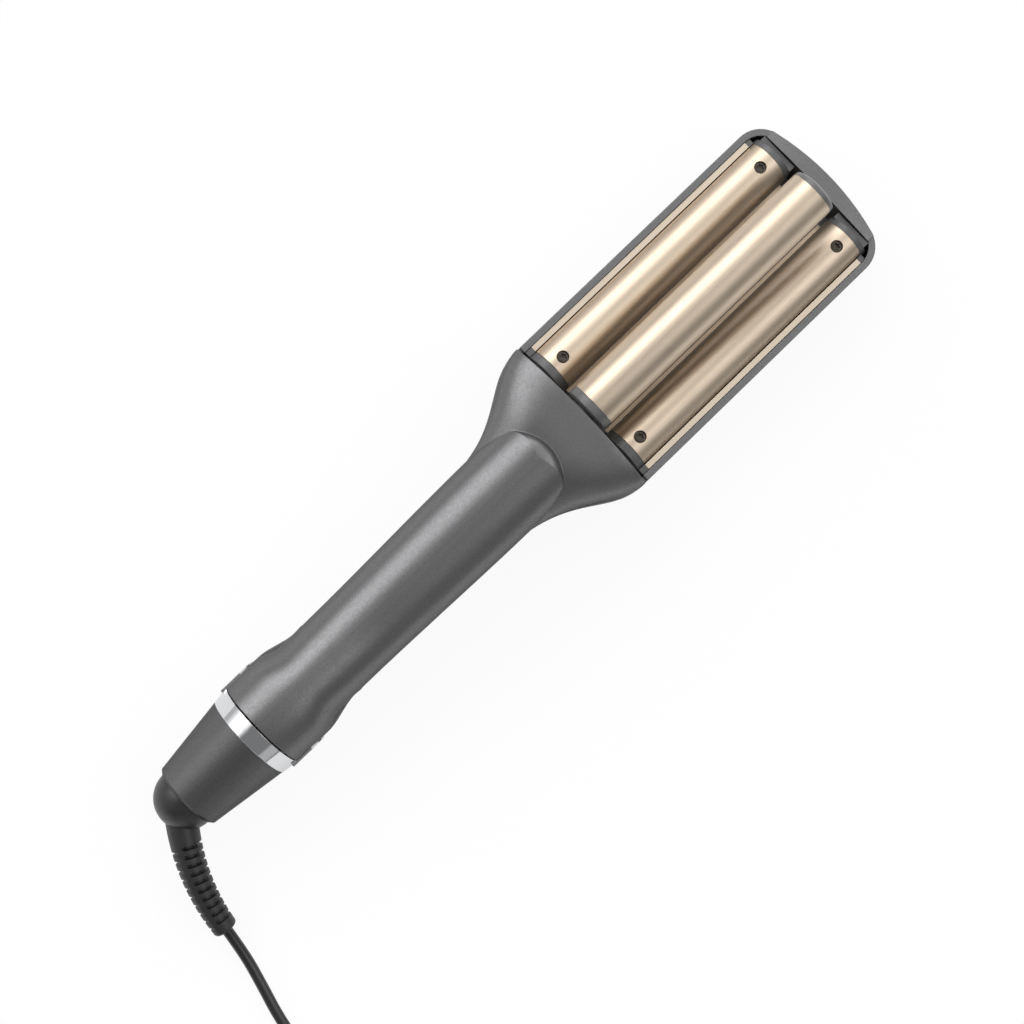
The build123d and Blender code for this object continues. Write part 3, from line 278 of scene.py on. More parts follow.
@dataclass(frozen=True)
class BarrelCoating(Finish):
    """Ceramic coating over drawn aluminium: satin, with faint lengthwise lines."""

    # Real draw lines are about 0.1 mm apart, too fine to show, so they are drawn at 0.6 mm.
    line_mm: float = 0.6
    line_length_mm: float = 60.0
    line_depth: float = 0.00002
    cloud_mm: float = 14.0
    light_colour: str = "#d8cab6"

    def pattern(self, tree: Tree, place: Socket) -> Pattern:
        """Draw faint lengthwise lines in the colour and the relief, and clouds in the roughness.

        Args:
            tree: The material's node tree.
            place: Coordinates in the piece's own frame, in metres.

        Returns:
            The inputs of each driver, by the name of the shader's input.
        """
        draw = {"Vector": place, "Scale": (self.line_mm / self.line_length_mm, 1.0, 1.0)}
        drawn = add_node(tree, "ShaderNodeMapping", draw).outputs[0]
        fine = {"Vector": drawn, "Scale": per_metre(self.line_mm), "Detail": 4.0, "Roughness": 0.6}
        lines = add_node(tree, "ShaderNodeTexNoise", fine).outputs[0]
        contrast = {0: lines, 1: 0.35, 2: 0.75, 3: 0.0, 4: 0.6}
        share = add_node(tree, "ShaderNodeMapRange", contrast).outputs[0]
        broad = {"Vector": place, "Scale": per_metre(self.cloud_mm), "Detail": 3.0}
        clouds = add_node(tree, "ShaderNodeTexNoise", broad).outputs[0]
        low, high = self.gloss()
        bump = {"Height": lines, "Strength": 0.1, "Distance": self.line_depth}
        return {
            "Base Color": {0: share, 6: linear(self.colour), 7: linear(self.light_colour)},
            "Roughness": {0: clouds, 3: high, 4: low},
            "Normal": bump,
        }


@dataclass(frozen=True)
class MouldedPlastic(Finish):
    """Injection-moulded plastic from a spark-eroded tool: fine even grain, wandering gloss."""

    # The real grain is 0.1 to 0.2 mm, too fine to show, so it is drawn at 0.5 mm or more.
    grain_mm: float = 0.5
    grain_depth: float = 0.00004
    drift_mm: float = 18.0
    gloss_swing: float = 0.06

    def pattern(self, tree: Tree, place: Socket) -> Pattern:
        """Raise the tool's grain and let the gloss wander slightly.

        Args:
            tree: The material's node tree.
            place: Coordinates in the piece's own frame, in metres.

        Returns:
            The inputs of each driver, by the name of the shader's input.
        """
        fine = {"Vector": place, "Scale": per_metre(self.grain_mm), "Detail": 4.0}
        grain = add_node(tree, "ShaderNodeTexNoise", fine).outputs[0]
        broad = {"Vector": place, "Scale": per_metre(self.drift_mm), "Detail": 2.0}
        drift = add_node(tree, "ShaderNodeTexNoise", broad).outputs[0]
        low, high = self.gloss()
        bump = {"Height": grain, "Strength": 0.4, "Distance": self.grain_depth}
        return {"Roughness": {0: drift, 3: low, 4: high}, "Normal": bump}


@dataclass(frozen=True)
class Polished(Finish):
    """A polished or plated surface: clean reflections, with faint wipe marks in the gloss."""

    mark_mm: float = 6.0
    mark_detail: float = 5.0
    mark_range: tuple[float, float] = (0.7, 1.5)
    clearness: float = 0.0

    def values(self) -> Inputs:
        """Add how much light passes through to the plain values."""
        return super().values() | {"Transmission Weight": self.clearness}

    def pattern(self, tree: Tree, place: Socket) -> Pattern:
        """Let the roughness wander as wipe marks do.

        Args:
            tree: The material's node tree.
            place: Coordinates in the piece's own frame, in metres.

        Returns:
            The inputs of each driver, by the name of the shader's input.
        """
        wipe = {"Vector": place, "Scale": per_metre(self.mark_mm), "Detail": self.mark_detail}
        marks = add_node(tree, "ShaderNodeTexNoise", wipe).outputs[0]
        low, high = self.mark_range
        return {"Roughness": {0: marks, 3: self.roughness * low, 4: self.roughness * high}}


# Painted shells: mid grey with a silky sheen, the tail a shade darker and duller than the arms
PAINT = MetallicPaint("abs_metallic_paint_grey", "#777778", 0.38, metallic=0.85, edge_mm=0.6)
TAIL_PAINT = MetallicPaint(
    "abs_metallic_paint_tail",
    "#6a6a6b",
    0.42,
    metallic=0.85,
    edge_mm=0.3,
    dark_flake="#646465",
    light_flake="#707071",
)
# Champagne coating: warm satin with a broad soft highlight, the flat strips slightly paler
BARREL = BarrelCoating("aluminium_champagne_coating", "#cfbeaa", 0.42, metallic=1.0)
STRIP = BarrelCoating("aluminium_champagne_strip", "#d8cab8", 0.42, metallic=1.0)
# Heat-proof mouldings round the barrels: dull dark grey, the caps a little lighter
INNER = MouldedPlastic("pps_moulded_dark_grey", "#585858", 0.4, ior=1.55, edge_mm=0.4)
CAP = MouldedPlastic("pps_moulded_cap_grey", "#646464", 0.36, ior=1.55, edge_mm=0.4)
# Metals: mirror-bright chrome, grey zinc, near-black screws, matt extrusion and yellow contacts
CHROME = Polished("brass_chrome_plated", "#d9dadc", 0.06, metallic=1.0, edge_mm=0.35)
STEEL = Polished("steel_zinc_plated", "#b7b8ba", 0.28, metallic=1.0)
DARK_SCREW = Polished("steel_black_oxide", "#4c4741", 0.32, metallic=0.85, edge_mm=0.1)
HEAT_METAL = Polished("aluminium_extruded", "#c3c5c7", 0.36, metallic=1.0)
CONTACT = Polished("brass_nickel_contact", "#caa565", 0.25, metallic=1.0)
# Inner parts: chalky ceramic, amber lacquer, ivory silicone and acetal, green board
CERAMIC = MouldedPlastic("alumina_pressed", "#dcd7ca", 0.6, ior=1.77)
SENSOR = MouldedPlastic("thermistor_lacquer_amber", "#a4632f", 0.25)
WIRE = MouldedPlastic("silicone_wire_ivory", "#d8d2c6", 0.5)
BEARING = MouldedPlastic("acetal_turned_ivory", "#e3e1d8", 0.4)
BOARD = MouldedPlastic("glass_epoxy_board_green", "#1f4d30", 0.4)
# Blacks: the ball smooth, relief and plug rubbery, the cord glossier, the tie dull
BALL = MouldedPlastic("nylon_moulded_black", "#2a2a2b", 0.36, grain_depth=0.00002)
RELIEF = MouldedPlastic("pvc_moulded_black", "#262627", 0.42, ior=1.53)
SHEATH = MouldedPlastic("pvc_cord_sheath", "#202021", 0.32, ior=1.53, grain_mm=1.2)
TIE = MouldedPlastic("nylon_tie_black", "#1b1b1c", 0.45)
PLUG = MouldedPlastic("pvc_plug_black", "#1d1d1e", 0.48, ior=1.53)
# Control panel: piano black, a dark clear window over pale segments, grey keys, white print
PANEL = MouldedPlastic("abs_gloss_black", "#121214", 0.14, grain_depth=0.000008)
WINDOW = Polished(
    "acrylic_smoked",
    "#2c2c30",
    0.05,
    ior=1.49,
    mark_mm=4.0,
    mark_detail=3.0,
    mark_range=(0.6, 1.6),
    clearness=0.8,
)
ELECTRONIC = MouldedPlastic("nylon_glass_filled_black", "#2a2a2c", 0.5)
SEGMENT = MouldedPlastic("epoxy_segment_grey", "#8a8c90", 0.4)
BUTTON = MouldedPlastic("abs_button_grey", "#6d6d6f", 0.36)
PRINT = MouldedPlastic("pad_print_white", "#e6e6e4", 0.5, edge_mm=0.02)


class Slot(Enum):
    """The record's material slots, each with the finish that its pieces wear."""

    HOUSING = PAINT
    INNER_PLASTIC = INNER
    TAIL_PAINT = TAIL_PAINT
    CAP_PLASTIC = CAP
    BARREL_COATING = BARREL
    SIDE_STRIP = STRIP
    CHROME = CHROME
    STEEL = STEEL
    DARK_SCREW = DARK_SCREW
    HEAT_METAL = HEAT_METAL
    HEATER_CERAMIC = CERAMIC
    SENSOR_GLASS = SENSOR
    WIRE = WIRE
    BEARING_PLASTIC = BEARING
    CONTACT_BOARD = BOARD
    CONTACT_METAL = CONTACT
    BALL_PLASTIC = BALL
    RELIEF_RUBBER = RELIEF
    PANEL_PLASTIC = PANEL
    WINDOW = WINDOW
    ELECTRONICS = ELECTRONIC
    BUTTON_PLASTIC = BUTTON
    CORD_PVC = SHEATH
    TIE_PLASTIC = TIE
    PLUG_PLASTIC = PLUG

    @property
    def label(self) -> str:
        """The slot's name in the record."""
        return self.name.lower()

    @property
    def finish(self) -> Finish:
        """The finish of the slot."""
        return self.value


def link(piece: Piece) -> None:
    """Put an object in the scene."""
    bpy.context.scene.collection.objects.link(piece)


def dress(piece: Piece, finish: Finish) -> None:
    """Give a piece one finish all over.

    Args:
        piece: The object to dress.
        finish: The finish it gets.
    """
    material = finish.build()
    if not piece.material_slots:
        piece.data.materials.append(material)
    for place in piece.material_slots:
        place.material = material


# ---- mesh helpers ----


def add_rings(shape: bmesh.types.BMesh, rings: list[list[Vector]]) -> None:
    """Skin a row of rings with equal point counts, and close both ends.

    Args:
        shape: The mesh that gets the skin.
        rings: Closed rings of points in metres, from one end to the other.
    """
    rows = [[shape.verts.new(point) for point in ring] for ring in rings]
    count = len(rows[0])
    for row, following in zip(rows, rows[1:]):
        for place in range(count):
            after = (place + 1) % count
            shape.faces.new((row[place], row[after], following[after], following[place]))
    shape.faces.new(list(reversed(rows[0])))
    shape.faces.new(rows[-1])


def finish_mesh(
    shape: bmesh.types.BMesh, name: str, slot: Slot, body: str, sharp: float = 40.0
) -> Piece:
    """Turn a built shape into a dressed piece that rides on a body.

    Args:
        shape: The mesh, which is freed.
        name: The piece's name.
        slot: The material slot of the piece.
        body: The body it rides on.
        sharp: Edges that turn by more than this many degrees stay sharp.

    Returns:
        The new piece.
    """
    bmesh.ops.recalc_face_normals(shape, faces=shape.faces[:])
    for face in shape.faces:
        face.smooth = True
    for edge in shape.edges:
        edge.smooth = len(edge.link_faces) == 2 and edge.calc_face_angle(0.0) < math.radians(sharp)
    mesh = bpy.data.meshes.new(name)
    shape.to_mesh(mesh)
    shape.free()
    return place_piece(bpy.data.objects.new(name, mesh), slot, body)


def place_piece(piece: Piece, slot: Slot, body: str) -> Piece:
    """Link a new piece, dress it, and let it ride on a body.

    Args:
        piece: The new object.
        slot: The material slot of the piece.
        body: The body it rides on.

    Returns:
        The same piece.
    """
    link(piece)
    dress(piece, slot.finish)
    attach(piece, body)
    LOG.info("built %s on %s", piece.name, body)
    return piece


def stamped(
    name: str, outlines: list[Outline], thickness: float, turn: Matrix, slot: Slot, body: str
) -> Piece:
    """Cut a flat piece from sheet: closed outlines, with inner ones as holes.

    Args:
        name: The piece's name.
        outlines: Closed outlines in metres in the sheet's own plane.
        thickness: Thickness of the sheet in metres, half on each side of the plane.
        turn: Matrix from the sheet's plane to the model.
        slot: The material slot of the piece.
        body: The body it rides on.

    Returns:
        The new piece.
    """
    curve = bpy.data.curves.new(name, "CURVE")
    curve.dimensions = "2D"
    curve.fill_mode = "BOTH"
    curve.extrude = thickness / 2
    for outline in outlines:
        spline = curve.splines.new("POLY")
        spline.points.add(len(outline) - 1)
        spline.use_cyclic_u = True
        for point, (across, along) in zip(spline.points, outline):
            point.co = (across, along, 0.0, 1.0)
    flat = bpy.data.objects.new(f"{name}_outline", curve)
    link(flat)
    mesh = bpy.data.meshes.new_from_object(flat)
    bpy.data.objects.remove(flat)
    mesh.transform(turn)
    return place_piece(bpy.data.objects.new(name, mesh), slot, body)


def bar(length: float, width: float, centre: tuple[float, float] = (0.0, 0.0)) -> Outline:
    """Outline of a bar with round ends along the first axis.

    Args:
        length: Length over the ends in metres.
        width: Width in metres.
        centre: Its centre.

    Returns:
        The outline's points.
    """
    reach, radius = (length - width) / 2, width / 2
    steps = 8
    points = []
    for end, start in ((reach, -90), (-reach, 90)):
        for step in range(steps + 1):
            angle = math.radians(start + 180 * step / steps)
            along = centre[0] + end + radius * math.cos(angle)
            points.append((along, centre[1] + radius * math.sin(angle)))
    return points


# ---- sub-assemblies ----


@dataclass
class SubAssembly:
    """A group of pieces that is dressed, and given its fine pieces, together.

    Attributes:
    """

    frame: dict
    nodes: ClassVar[tuple[str, ...]] = ()

    def dress(self) -> None:
        """Dress the group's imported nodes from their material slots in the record."""
        finishes = {slot.label: slot.finish for slot in Slot}
        entries = self.frame["record"]["subparts"]
        slots = {entry["node"]: entry["material_slot"] for entry in entries}
        for name in self.nodes:
            dress(self.frame["nodes"][name], finishes[slots[name]])
            LOG.info("dressed %s as %s", name, slots[name])

    def build(self) -> None:
        """Build the group's fine pieces; a group may have none."""


@dataclass
class FrontArm(SubAssembly):
    """The handle half that faces up, with its flare, inner cover, screws and wiring."""

    nodes: ClassVar[tuple[str, ...]] = (
        "front_shell", "front_liner", "front_liner_screws", "front_leads",
    )


@dataclass
class CentreBarrel(SubAssembly):
    """The middle barrel, which lifts with the front arm, and the heater inside it."""

    nodes: ClassVar[tuple[str, ...]] = (
        "centre_barrel", "centre_near_cap", "centre_far_cap", "centre_spine", "centre_heat_shoes",
        "centre_heater", "centre_sensor",
    )


@dataclass
class HingeAndTail(SubAssembly):
    """The chrome yoke, its pin and frame, and the tail with the swivel's bearing."""

    nodes: ClassVar[tuple[str, ...]] = (
        "hinge_yoke", "hinge_pin", "tail_frame", "tail_cone", "swivel_bush", "slip_ring_disc",
        "slip_rings",
    )


@dataclass
class BackArm(SubAssembly):
    """The handle half and tray that lie on the table, with inner cover, pads and opening spring."""

    nodes: ClassVar[tuple[str, ...]] = (
        "back_shell", "back_liner", "back_liner_screws", "bump_pads", "opening_spring",
        "back_leads",
    )
    start_mm: float = 163.15
    corner_mm: tuple[float, float] = (282.97, 23.45)
    corner_end: float = 28.0
    edge_out_mm: float = 2.0
    edge_radius_mm: float = 10.0
    floor_mm: float = -23.894
    band: tuple[float, float] = (35.0, 52.0)
    band_thickness_mm: float = 0.9
    band_inset_mm: float = 0.03
    corner_steps: int = 16
    band_steps: int = 6

    def build(self) -> None:
        """Line the tray's long lower edges, where its wall is thinnest, from the inside."""
        shape = bmesh.new()
        for side in (1, -1):
            places = [(self.start_mm, 90.0)]
            places += [(self.corner_mm[0], angle) for angle in self.corner_angles()]
            add_rings(shape, [self.band_ring(x, angle, side) for x, angle in places])
        finish_mesh(shape, "tray_edge_bands", Slot.HOUSING, "back_arm")

    def corner_angles(self) -> list[float]:
        """Directions around the tray's corner in plan, in degrees from the tip's direction."""
        steps = self.corner_steps
        return [90.0 - (90.0 - self.corner_end) * step / steps for step in range(steps + 1)]

    def band_ring(self, x: float, angle: float, side: int) -> list[Vector]:
        """Cross-section of the band, which follows the rounded lower edge.

        Args:
            x: Place of the section's pivot along the arm, in millimetres.
            angle: Direction of the section in plan, in degrees from the tip's direction.
            side: 1 for the left edge and -1 for the right one.

        Returns:
            The ring's points in metres.
        """
        outward = Vector((math.cos(math.radians(angle)), side * math.sin(math.radians(angle)), 0.0))
        pivot = Vector((x, side * self.corner_mm[1], self.floor_mm + self.edge_radius_mm))
        pivot += outward * self.edge_out_mm
        outer = self.edge_radius_mm - self.band_inset_mm
        low, high = self.band
        steps = self.band_steps
        arc = [math.radians(low + (high - low) * step / steps) for step in range(steps + 1)]
        reach = [(outer, turn) for turn in arc]
        reach += [(outer - self.band_thickness_mm, turn) for turn in reversed(arc)]
        ring = []
        for radius, turn in reach:
            point = pivot + outward * radius * math.sin(turn) - UP * radius * math.cos(turn)
            ring.append(back_point(*point))
        return ring


@dataclass
class OuterBarrels(SubAssembly):
    """The two outer barrels in the tray, with carrier, strips, heaters and face screws."""

    nodes: ClassVar[tuple[str, ...]] = (
        "barrel_carrier", "left_barrel", "right_barrel", "left_strip", "right_strip",
        "left_heat_shoe", "right_heat_shoe", "left_heater", "right_heater", "left_heater_spring",
        "right_heater_spring", "outer_sensors", "thermal_fuse", "face_screws",
    )
    screw_x_mm: tuple[float, float] = (171.9, 279.1)
    screw_y_mm: float = 21.25
    head_radius_mm: float = 2.3
    shaft_radius_mm: float = 1.2
    thread_depth_mm: float = 0.2
    thread_pitch_mm: float = 0.8
    tip_mm: float = -4.0
    tip_radius_mm: float = 0.4
    point_mm: float = 1.0
    seat_mm: float = 4.5
    top_mm: float = 6.15
    crown_mm: float = 0.3
    bevel_mm: float = 0.08
    lobes: int = 6
    lobe_mid_mm: float = 1.2
    lobe_swing_mm: float = 0.26
    recess_lip_mm: float = 0.1
    recess_mm: float = 0.95
    recess_cone_mm: tuple[float, float] = (0.2, 0.25)
    ring_points: int = 48

    def build(self) -> None:
        """Build the four face screws with their six-lobed recess."""
        shape = bmesh.new()
        for x in self.screw_x_mm:
            for y in (self.screw_y_mm, -self.screw_y_mm):
                add_rings(shape, self.screw_rings(x, y))
        screws = finish_mesh(shape, "face_screws_turned", Slot.DARK_SCREW, "back_arm", sharp=35.0)
        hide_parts("face_screws")

    def screw_rings(self, x: float, y: float) -> list[list[Vector]]:
        """Rings of one screw from its tip, over the head and down into the recess.

        Args:
            x: Its place along the back arm in millimetres.
            y: Its place to the left of the middle in millimetres.

        Returns:
            The rings in metres.
        """
        shaft, head, lobe = self.shaft_radius_mm, self.head_radius_mm, self.lobe_mid_mm
        top, seat, swing = self.top_mm, self.seat_mm, self.lobe_swing_mm
        pitch, foot = self.thread_pitch_mm, self.tip_mm + self.point_mm
        profile = [(self.tip_radius_mm, self.tip_mm, 0.0), (shaft, foot, 0.0)]
        for turn in range(int((seat - foot - self.point_mm) / pitch)):
            profile.append((shaft - self.thread_depth_mm, foot + (turn + 0.5) * pitch, 0.0))
            profile.append((shaft, foot + (turn + 1) * pitch, 0.0))
        cone_radius, cone_depth = self.recess_cone_mm
        profile += [
            (shaft, seat, 0.0),
            (head, seat, 0.0),
            (head, top - self.crown_mm, 0.0),
            (head - self.bevel_mm, top - self.bevel_mm, 0.0),
            (head - self.crown_mm, top, 0.0),
            (lobe + self.bevel_mm, top, swing),
            (lobe, top - self.recess_lip_mm, swing),
            (lobe, top - self.recess_mm, swing),
            (cone_radius, top - self.recess_mm - cone_depth, 0.0),
        ]
        angles = [math.tau * step / self.ring_points for step in range(self.ring_points)]
        rings = []
        for radius, height, depth in profile:
            reaches = [radius + depth * math.cos(self.lobes * angle) for angle in angles]
            flat = [(x + r * math.cos(a), y + r * math.sin(a)) for r, a in zip(reaches, angles)]
            rings.append([back_point(*spot, height) for spot in flat])
        return rings


@dataclass
class ControlPanel(SubAssembly):
    """The glossy panel under the back handle: display, three buttons and the board behind them."""

    nodes: ClassVar[tuple[str, ...]] = (
        "control_panel", "display_window", "display_module", "control_board", "button_switches",
        "power_button", "plus_button", "minus_button",
    )
    power_x_mm: float = 101.0
    plus_x_mm: float = 90.0
    minus_x_mm: float = 79.0
    button_face_mm: float = -17.35
    print_mm: float = 0.06
    stroke: float = 0.00045
    power_radius: float = 0.0015
    power_gap: float = 38.0
    power_steps: int = 28
    window_x_mm: float = 58.5
    module_face_mm: float = -15.3
    digit_pitch: float = 0.0048
    digit_width: float = 0.0026
    digit_height: float = 0.0048
    segment_width: float = 0.00055
    segment_thickness: float = 0.00008
    segment_fill: float = 0.8

    def build(self) -> None:
        """Print the symbols on the buttons and set the display's segments."""
        self.symbol("power_symbol", self.power_outlines(), self.power_x_mm, "power_button")
        length = 2 * self.power_radius
        self.symbol("minus_symbol", [bar(length, self.stroke)], self.minus_x_mm, "minus_button")
        self.symbol("plus_symbol", [self.plus_outline(length)], self.plus_x_mm, "plus_button")
        self.segments()

    def facing_down(self, x_mm: float, z_mm: float) -> Matrix:
        """Matrix of a sheet that faces down from the back arm, its first axis towards the tip."""
        turn = Matrix(((1, 0, 0), (0, -1, 0), (0, 0, -1))).to_4x4()
        return Matrix.Translation(back_point(x_mm, 0.0, z_mm)) @ turn

    def symbol(self, name: str, outlines: list[Outline], x_mm: float, body: str) -> None:
        """Print one symbol on a button's face.

        Args:
            name: The piece's name.
            outlines: The symbol's closed outlines.
            x_mm: Place of the button along the arm.
            body: The button's body.
        """
        turn = self.facing_down(x_mm, self.button_face_mm)
        dress(stamped(name, outlines, self.print_mm * MM, turn, Slot.BUTTON_PLASTIC, body), PRINT)

    def plus_outline(self, length: float) -> Outline:
        """Outline of a plus sign with square ends.

        Args:
            length: Length of each bar in metres.

        Returns:
            The outline's points.
        """
        reach, half = length / 2, self.stroke / 2
        corners = [(reach, -half), (reach, half), (half, half), (half, reach)]
        points = []
        for quarter in range(4):
            for across, along in corners[1:]:
                for _ in range(quarter):
                    across, along = -along, across
                points.append((across, along))
        return points

    def power_outlines(self) -> list[Outline]:
        """Outlines of the standby symbol: a ring with a gap, and a bar in it.

        Returns:
            The ring's outline and the bar's.
        """
        outer, inner = self.power_radius + self.stroke / 2, self.power_radius - self.stroke / 2
        gap, steps = self.power_gap, self.power_steps
        angles = [math.radians(gap + (360 - 2 * gap) * step / steps) for step in range(steps + 1)]
        ring = [(outer * math.cos(a), outer * math.sin(a)) for a in angles]
        ring += [(inner * math.cos(a), inner * math.sin(a)) for a in reversed(angles)]
        return [ring, bar(self.power_radius * 1.1, self.stroke, (self.power_radius * 0.75, 0.0))]

    def segments(self) -> None:
        """Set three seven-segment figures on the face of the display module."""
        long, wide = self.digit_height / 2 - self.segment_width, self.segment_width
        lying = bar(self.digit_width - wide, wide * self.segment_fill)
        standing = [(along, across) for across, along in bar(long, wide * self.segment_fill)]
        outlines = []
        for digit in (-1, 0, 1):
            middle = digit * self.digit_pitch
            for level in (-1, 0, 1):
                rise = level * self.digit_height / 2
                outlines.append([(middle + x, rise + y) for x, y in lying])
            for side in (-1, 1):
                for level in (-1, 1):
                    across = middle + side * self.digit_width / 2
                    rise = level * self.digit_height / 4
                    outlines.append([(across + x, rise + y) for x, y in standing])
        turn = self.facing_down(self.window_x_mm, self.module_face_mm)
        thickness, slot = self.segment_thickness, Slot.ELECTRONICS
        dress(stamped("display_segments", outlines, thickness, turn, slot, "back_arm"), SEGMENT)


@dataclass
class CordSwivel(SubAssembly):
    """The ball that turns in the tail, with its contacts and the slotted strain relief."""

    nodes: ClassVar[tuple[str, ...]] = ("swivel_ball", "strain_relief", "wiper_contacts")


# ---- mains cord ----


@dataclass
class MainsPlug:
    """The two-blade plug at the cord's end: ribbed neck, ridged grip and drilled blades."""

    start: Vector = field(default_factory=lambda: Vector((-0.2845, -0.0745, 0.0080)))
    heading: Vector = field(default_factory=lambda: Vector((-0.0059, 0.0125, 0.0)).normalized())
    neck_mm: float = 13.0
    body_mm: float = 23.0
    neck_radii_mm: tuple[float, float] = (3.2, 5.4)
    rib_pitch_mm: float = 2.6
    rib_depth_mm: float = 0.7
    neck_steps: int = 44
    body_steps: int = 80
    swell_power: float = 1.6
    shoulders_mm: tuple[float, float] = (0.8, 0.5)
    shoulder_shares: tuple[float, float] = (0.01, 0.985)
    corner_power: float = 3.4
    rear_half_mm: tuple[float, float] = (7.4, 5.9)
    front_half_mm: tuple[float, float] = (11.4, 7.9)
    grip_mm: tuple[float, float] = (18.0, 31.0)
    ridge_pitch_mm: float = 2.6
    ridge_depth_mm: float = 0.55
    blade_mm: tuple[float, float, float] = (16.0, 6.3, 1.5)
    blade_spacing_mm: float = 12.7
    hole_mm: float = 3.2
    hole_share: float = 0.74
    hole_points: int = 24
    ring_points: int = 40

    def build(self) -> list[Piece]:
        """Build the moulding and the blades, and return them."""
        return [self.moulding(), *self.blades()]

    def ring(
        self, distance: float, half_width: float, half_height: float, power: float
    ) -> list[Vector]:
        """One cross-section of the moulding.

        Args:
            distance: How far it is from the cord's end, in millimetres.
            half_width: Half its width in millimetres.
            half_height: Half its height in millimetres.
            power: 2 for an ellipse, more for squarer corners.

        Returns:
            The ring's points in metres.
        """
        across = self.heading.cross(UP)
        centre = self.start + self.heading * distance * MM
        ring = []
        for step in range(self.ring_points):
            angle = math.tau * step / self.ring_points
            wide, tall = math.cos(angle), math.sin(angle)
            x = math.copysign(abs(wide) ** (2 / power), wide) * half_width
            z = math.copysign(abs(tall) ** (2 / power), tall) * half_height
            ring.append(centre + (across * x + UP * z) * MM)
        return ring

    def moulding(self) -> Piece:
        """Build the moulded body from the ribbed neck to the flat face of the blades.

        Returns:
            The moulding.
        """
        rings = []
        root, crown = self.neck_radii_mm
        steps = self.neck_steps
        for step in range(steps + 1):
            distance = self.neck_mm * step / steps
            radius = root + (crown - root) * step / steps
            # A clipped wave gives grooves with flat floors; the last ring stays full.
            wave = 0.5 - 0.5 * math.cos(math.tau * distance / self.rib_pitch_mm)
            radius -= self.rib_depth_mm * min(1.0, 1.6 * wave) * (step < steps)
            rings.append(self.ring(distance, radius, radius, 2.0))
        low, high = self.shoulder_shares
        for step in range(self.body_steps + 1):
            share = step / self.body_steps
            distance = self.neck_mm + self.body_mm * share
            swell = 1 - (1 - share) ** self.swell_power
            cut = self.shoulders_mm[0] * (share < low) + self.shoulders_mm[1] * (share > high)
            if self.grip_mm[0] < distance < self.grip_mm[1]:
                turn = math.tau * (distance - self.grip_mm[0]) / self.ridge_pitch_mm
                cut += self.ridge_depth_mm * (0.5 - 0.5 * math.cos(turn))
            halves = [
                rear + (front - rear) * swell - cut
                for rear, front in zip(self.rear_half_mm, self.front_half_mm)
            ]
            rings.append(self.ring(distance, *halves, self.corner_power))
        shape = bmesh.new()
        add_rings(shape, rings)
        moulding = finish_mesh(shape, "plug_moulding", Slot.PLUG_PLASTIC, "swivel")
        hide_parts("plug_body")
        return moulding

    def blades(self) -> list[Piece]:
        """Stamp the two blades with their holes and bevelled tips.

        Returns:
            The left blade and the right one.
        """
        length, width, thickness = (size * MM for size in self.blade_mm)
        half, corner = width / 2, width * 0.2
        outline = [(-MM, -half), (length - corner, -half), (length, corner - half)]
        outline += [(length, half - corner), (length - corner, half), (-MM, half)]
        radius, middle = self.hole_mm / 2 * MM, length * self.hole_share
        angles = [math.tau * step / self.hole_points for step in range(self.hole_points)]
        hole = [(middle + radius * math.cos(a), radius * math.sin(a)) for a in angles]
        drilled = [outline, hole]
        across = self.heading.cross(UP)
        turn = Matrix((self.heading, UP, across)).transposed().to_4x4()
        face = self.start + self.heading * (self.neck_mm + self.body_mm) * MM
        pair = []
        for side in (1, -1):
            place = Matrix.Translation(face + across * side * self.blade_spacing_mm / 2 * MM)
            name = f"plug_blade_{side + 2}"
            pair.append(stamped(name, drilled, thickness, place @ turn, Slot.STEEL, "swivel"))
        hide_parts("plug_blades")
        return pair


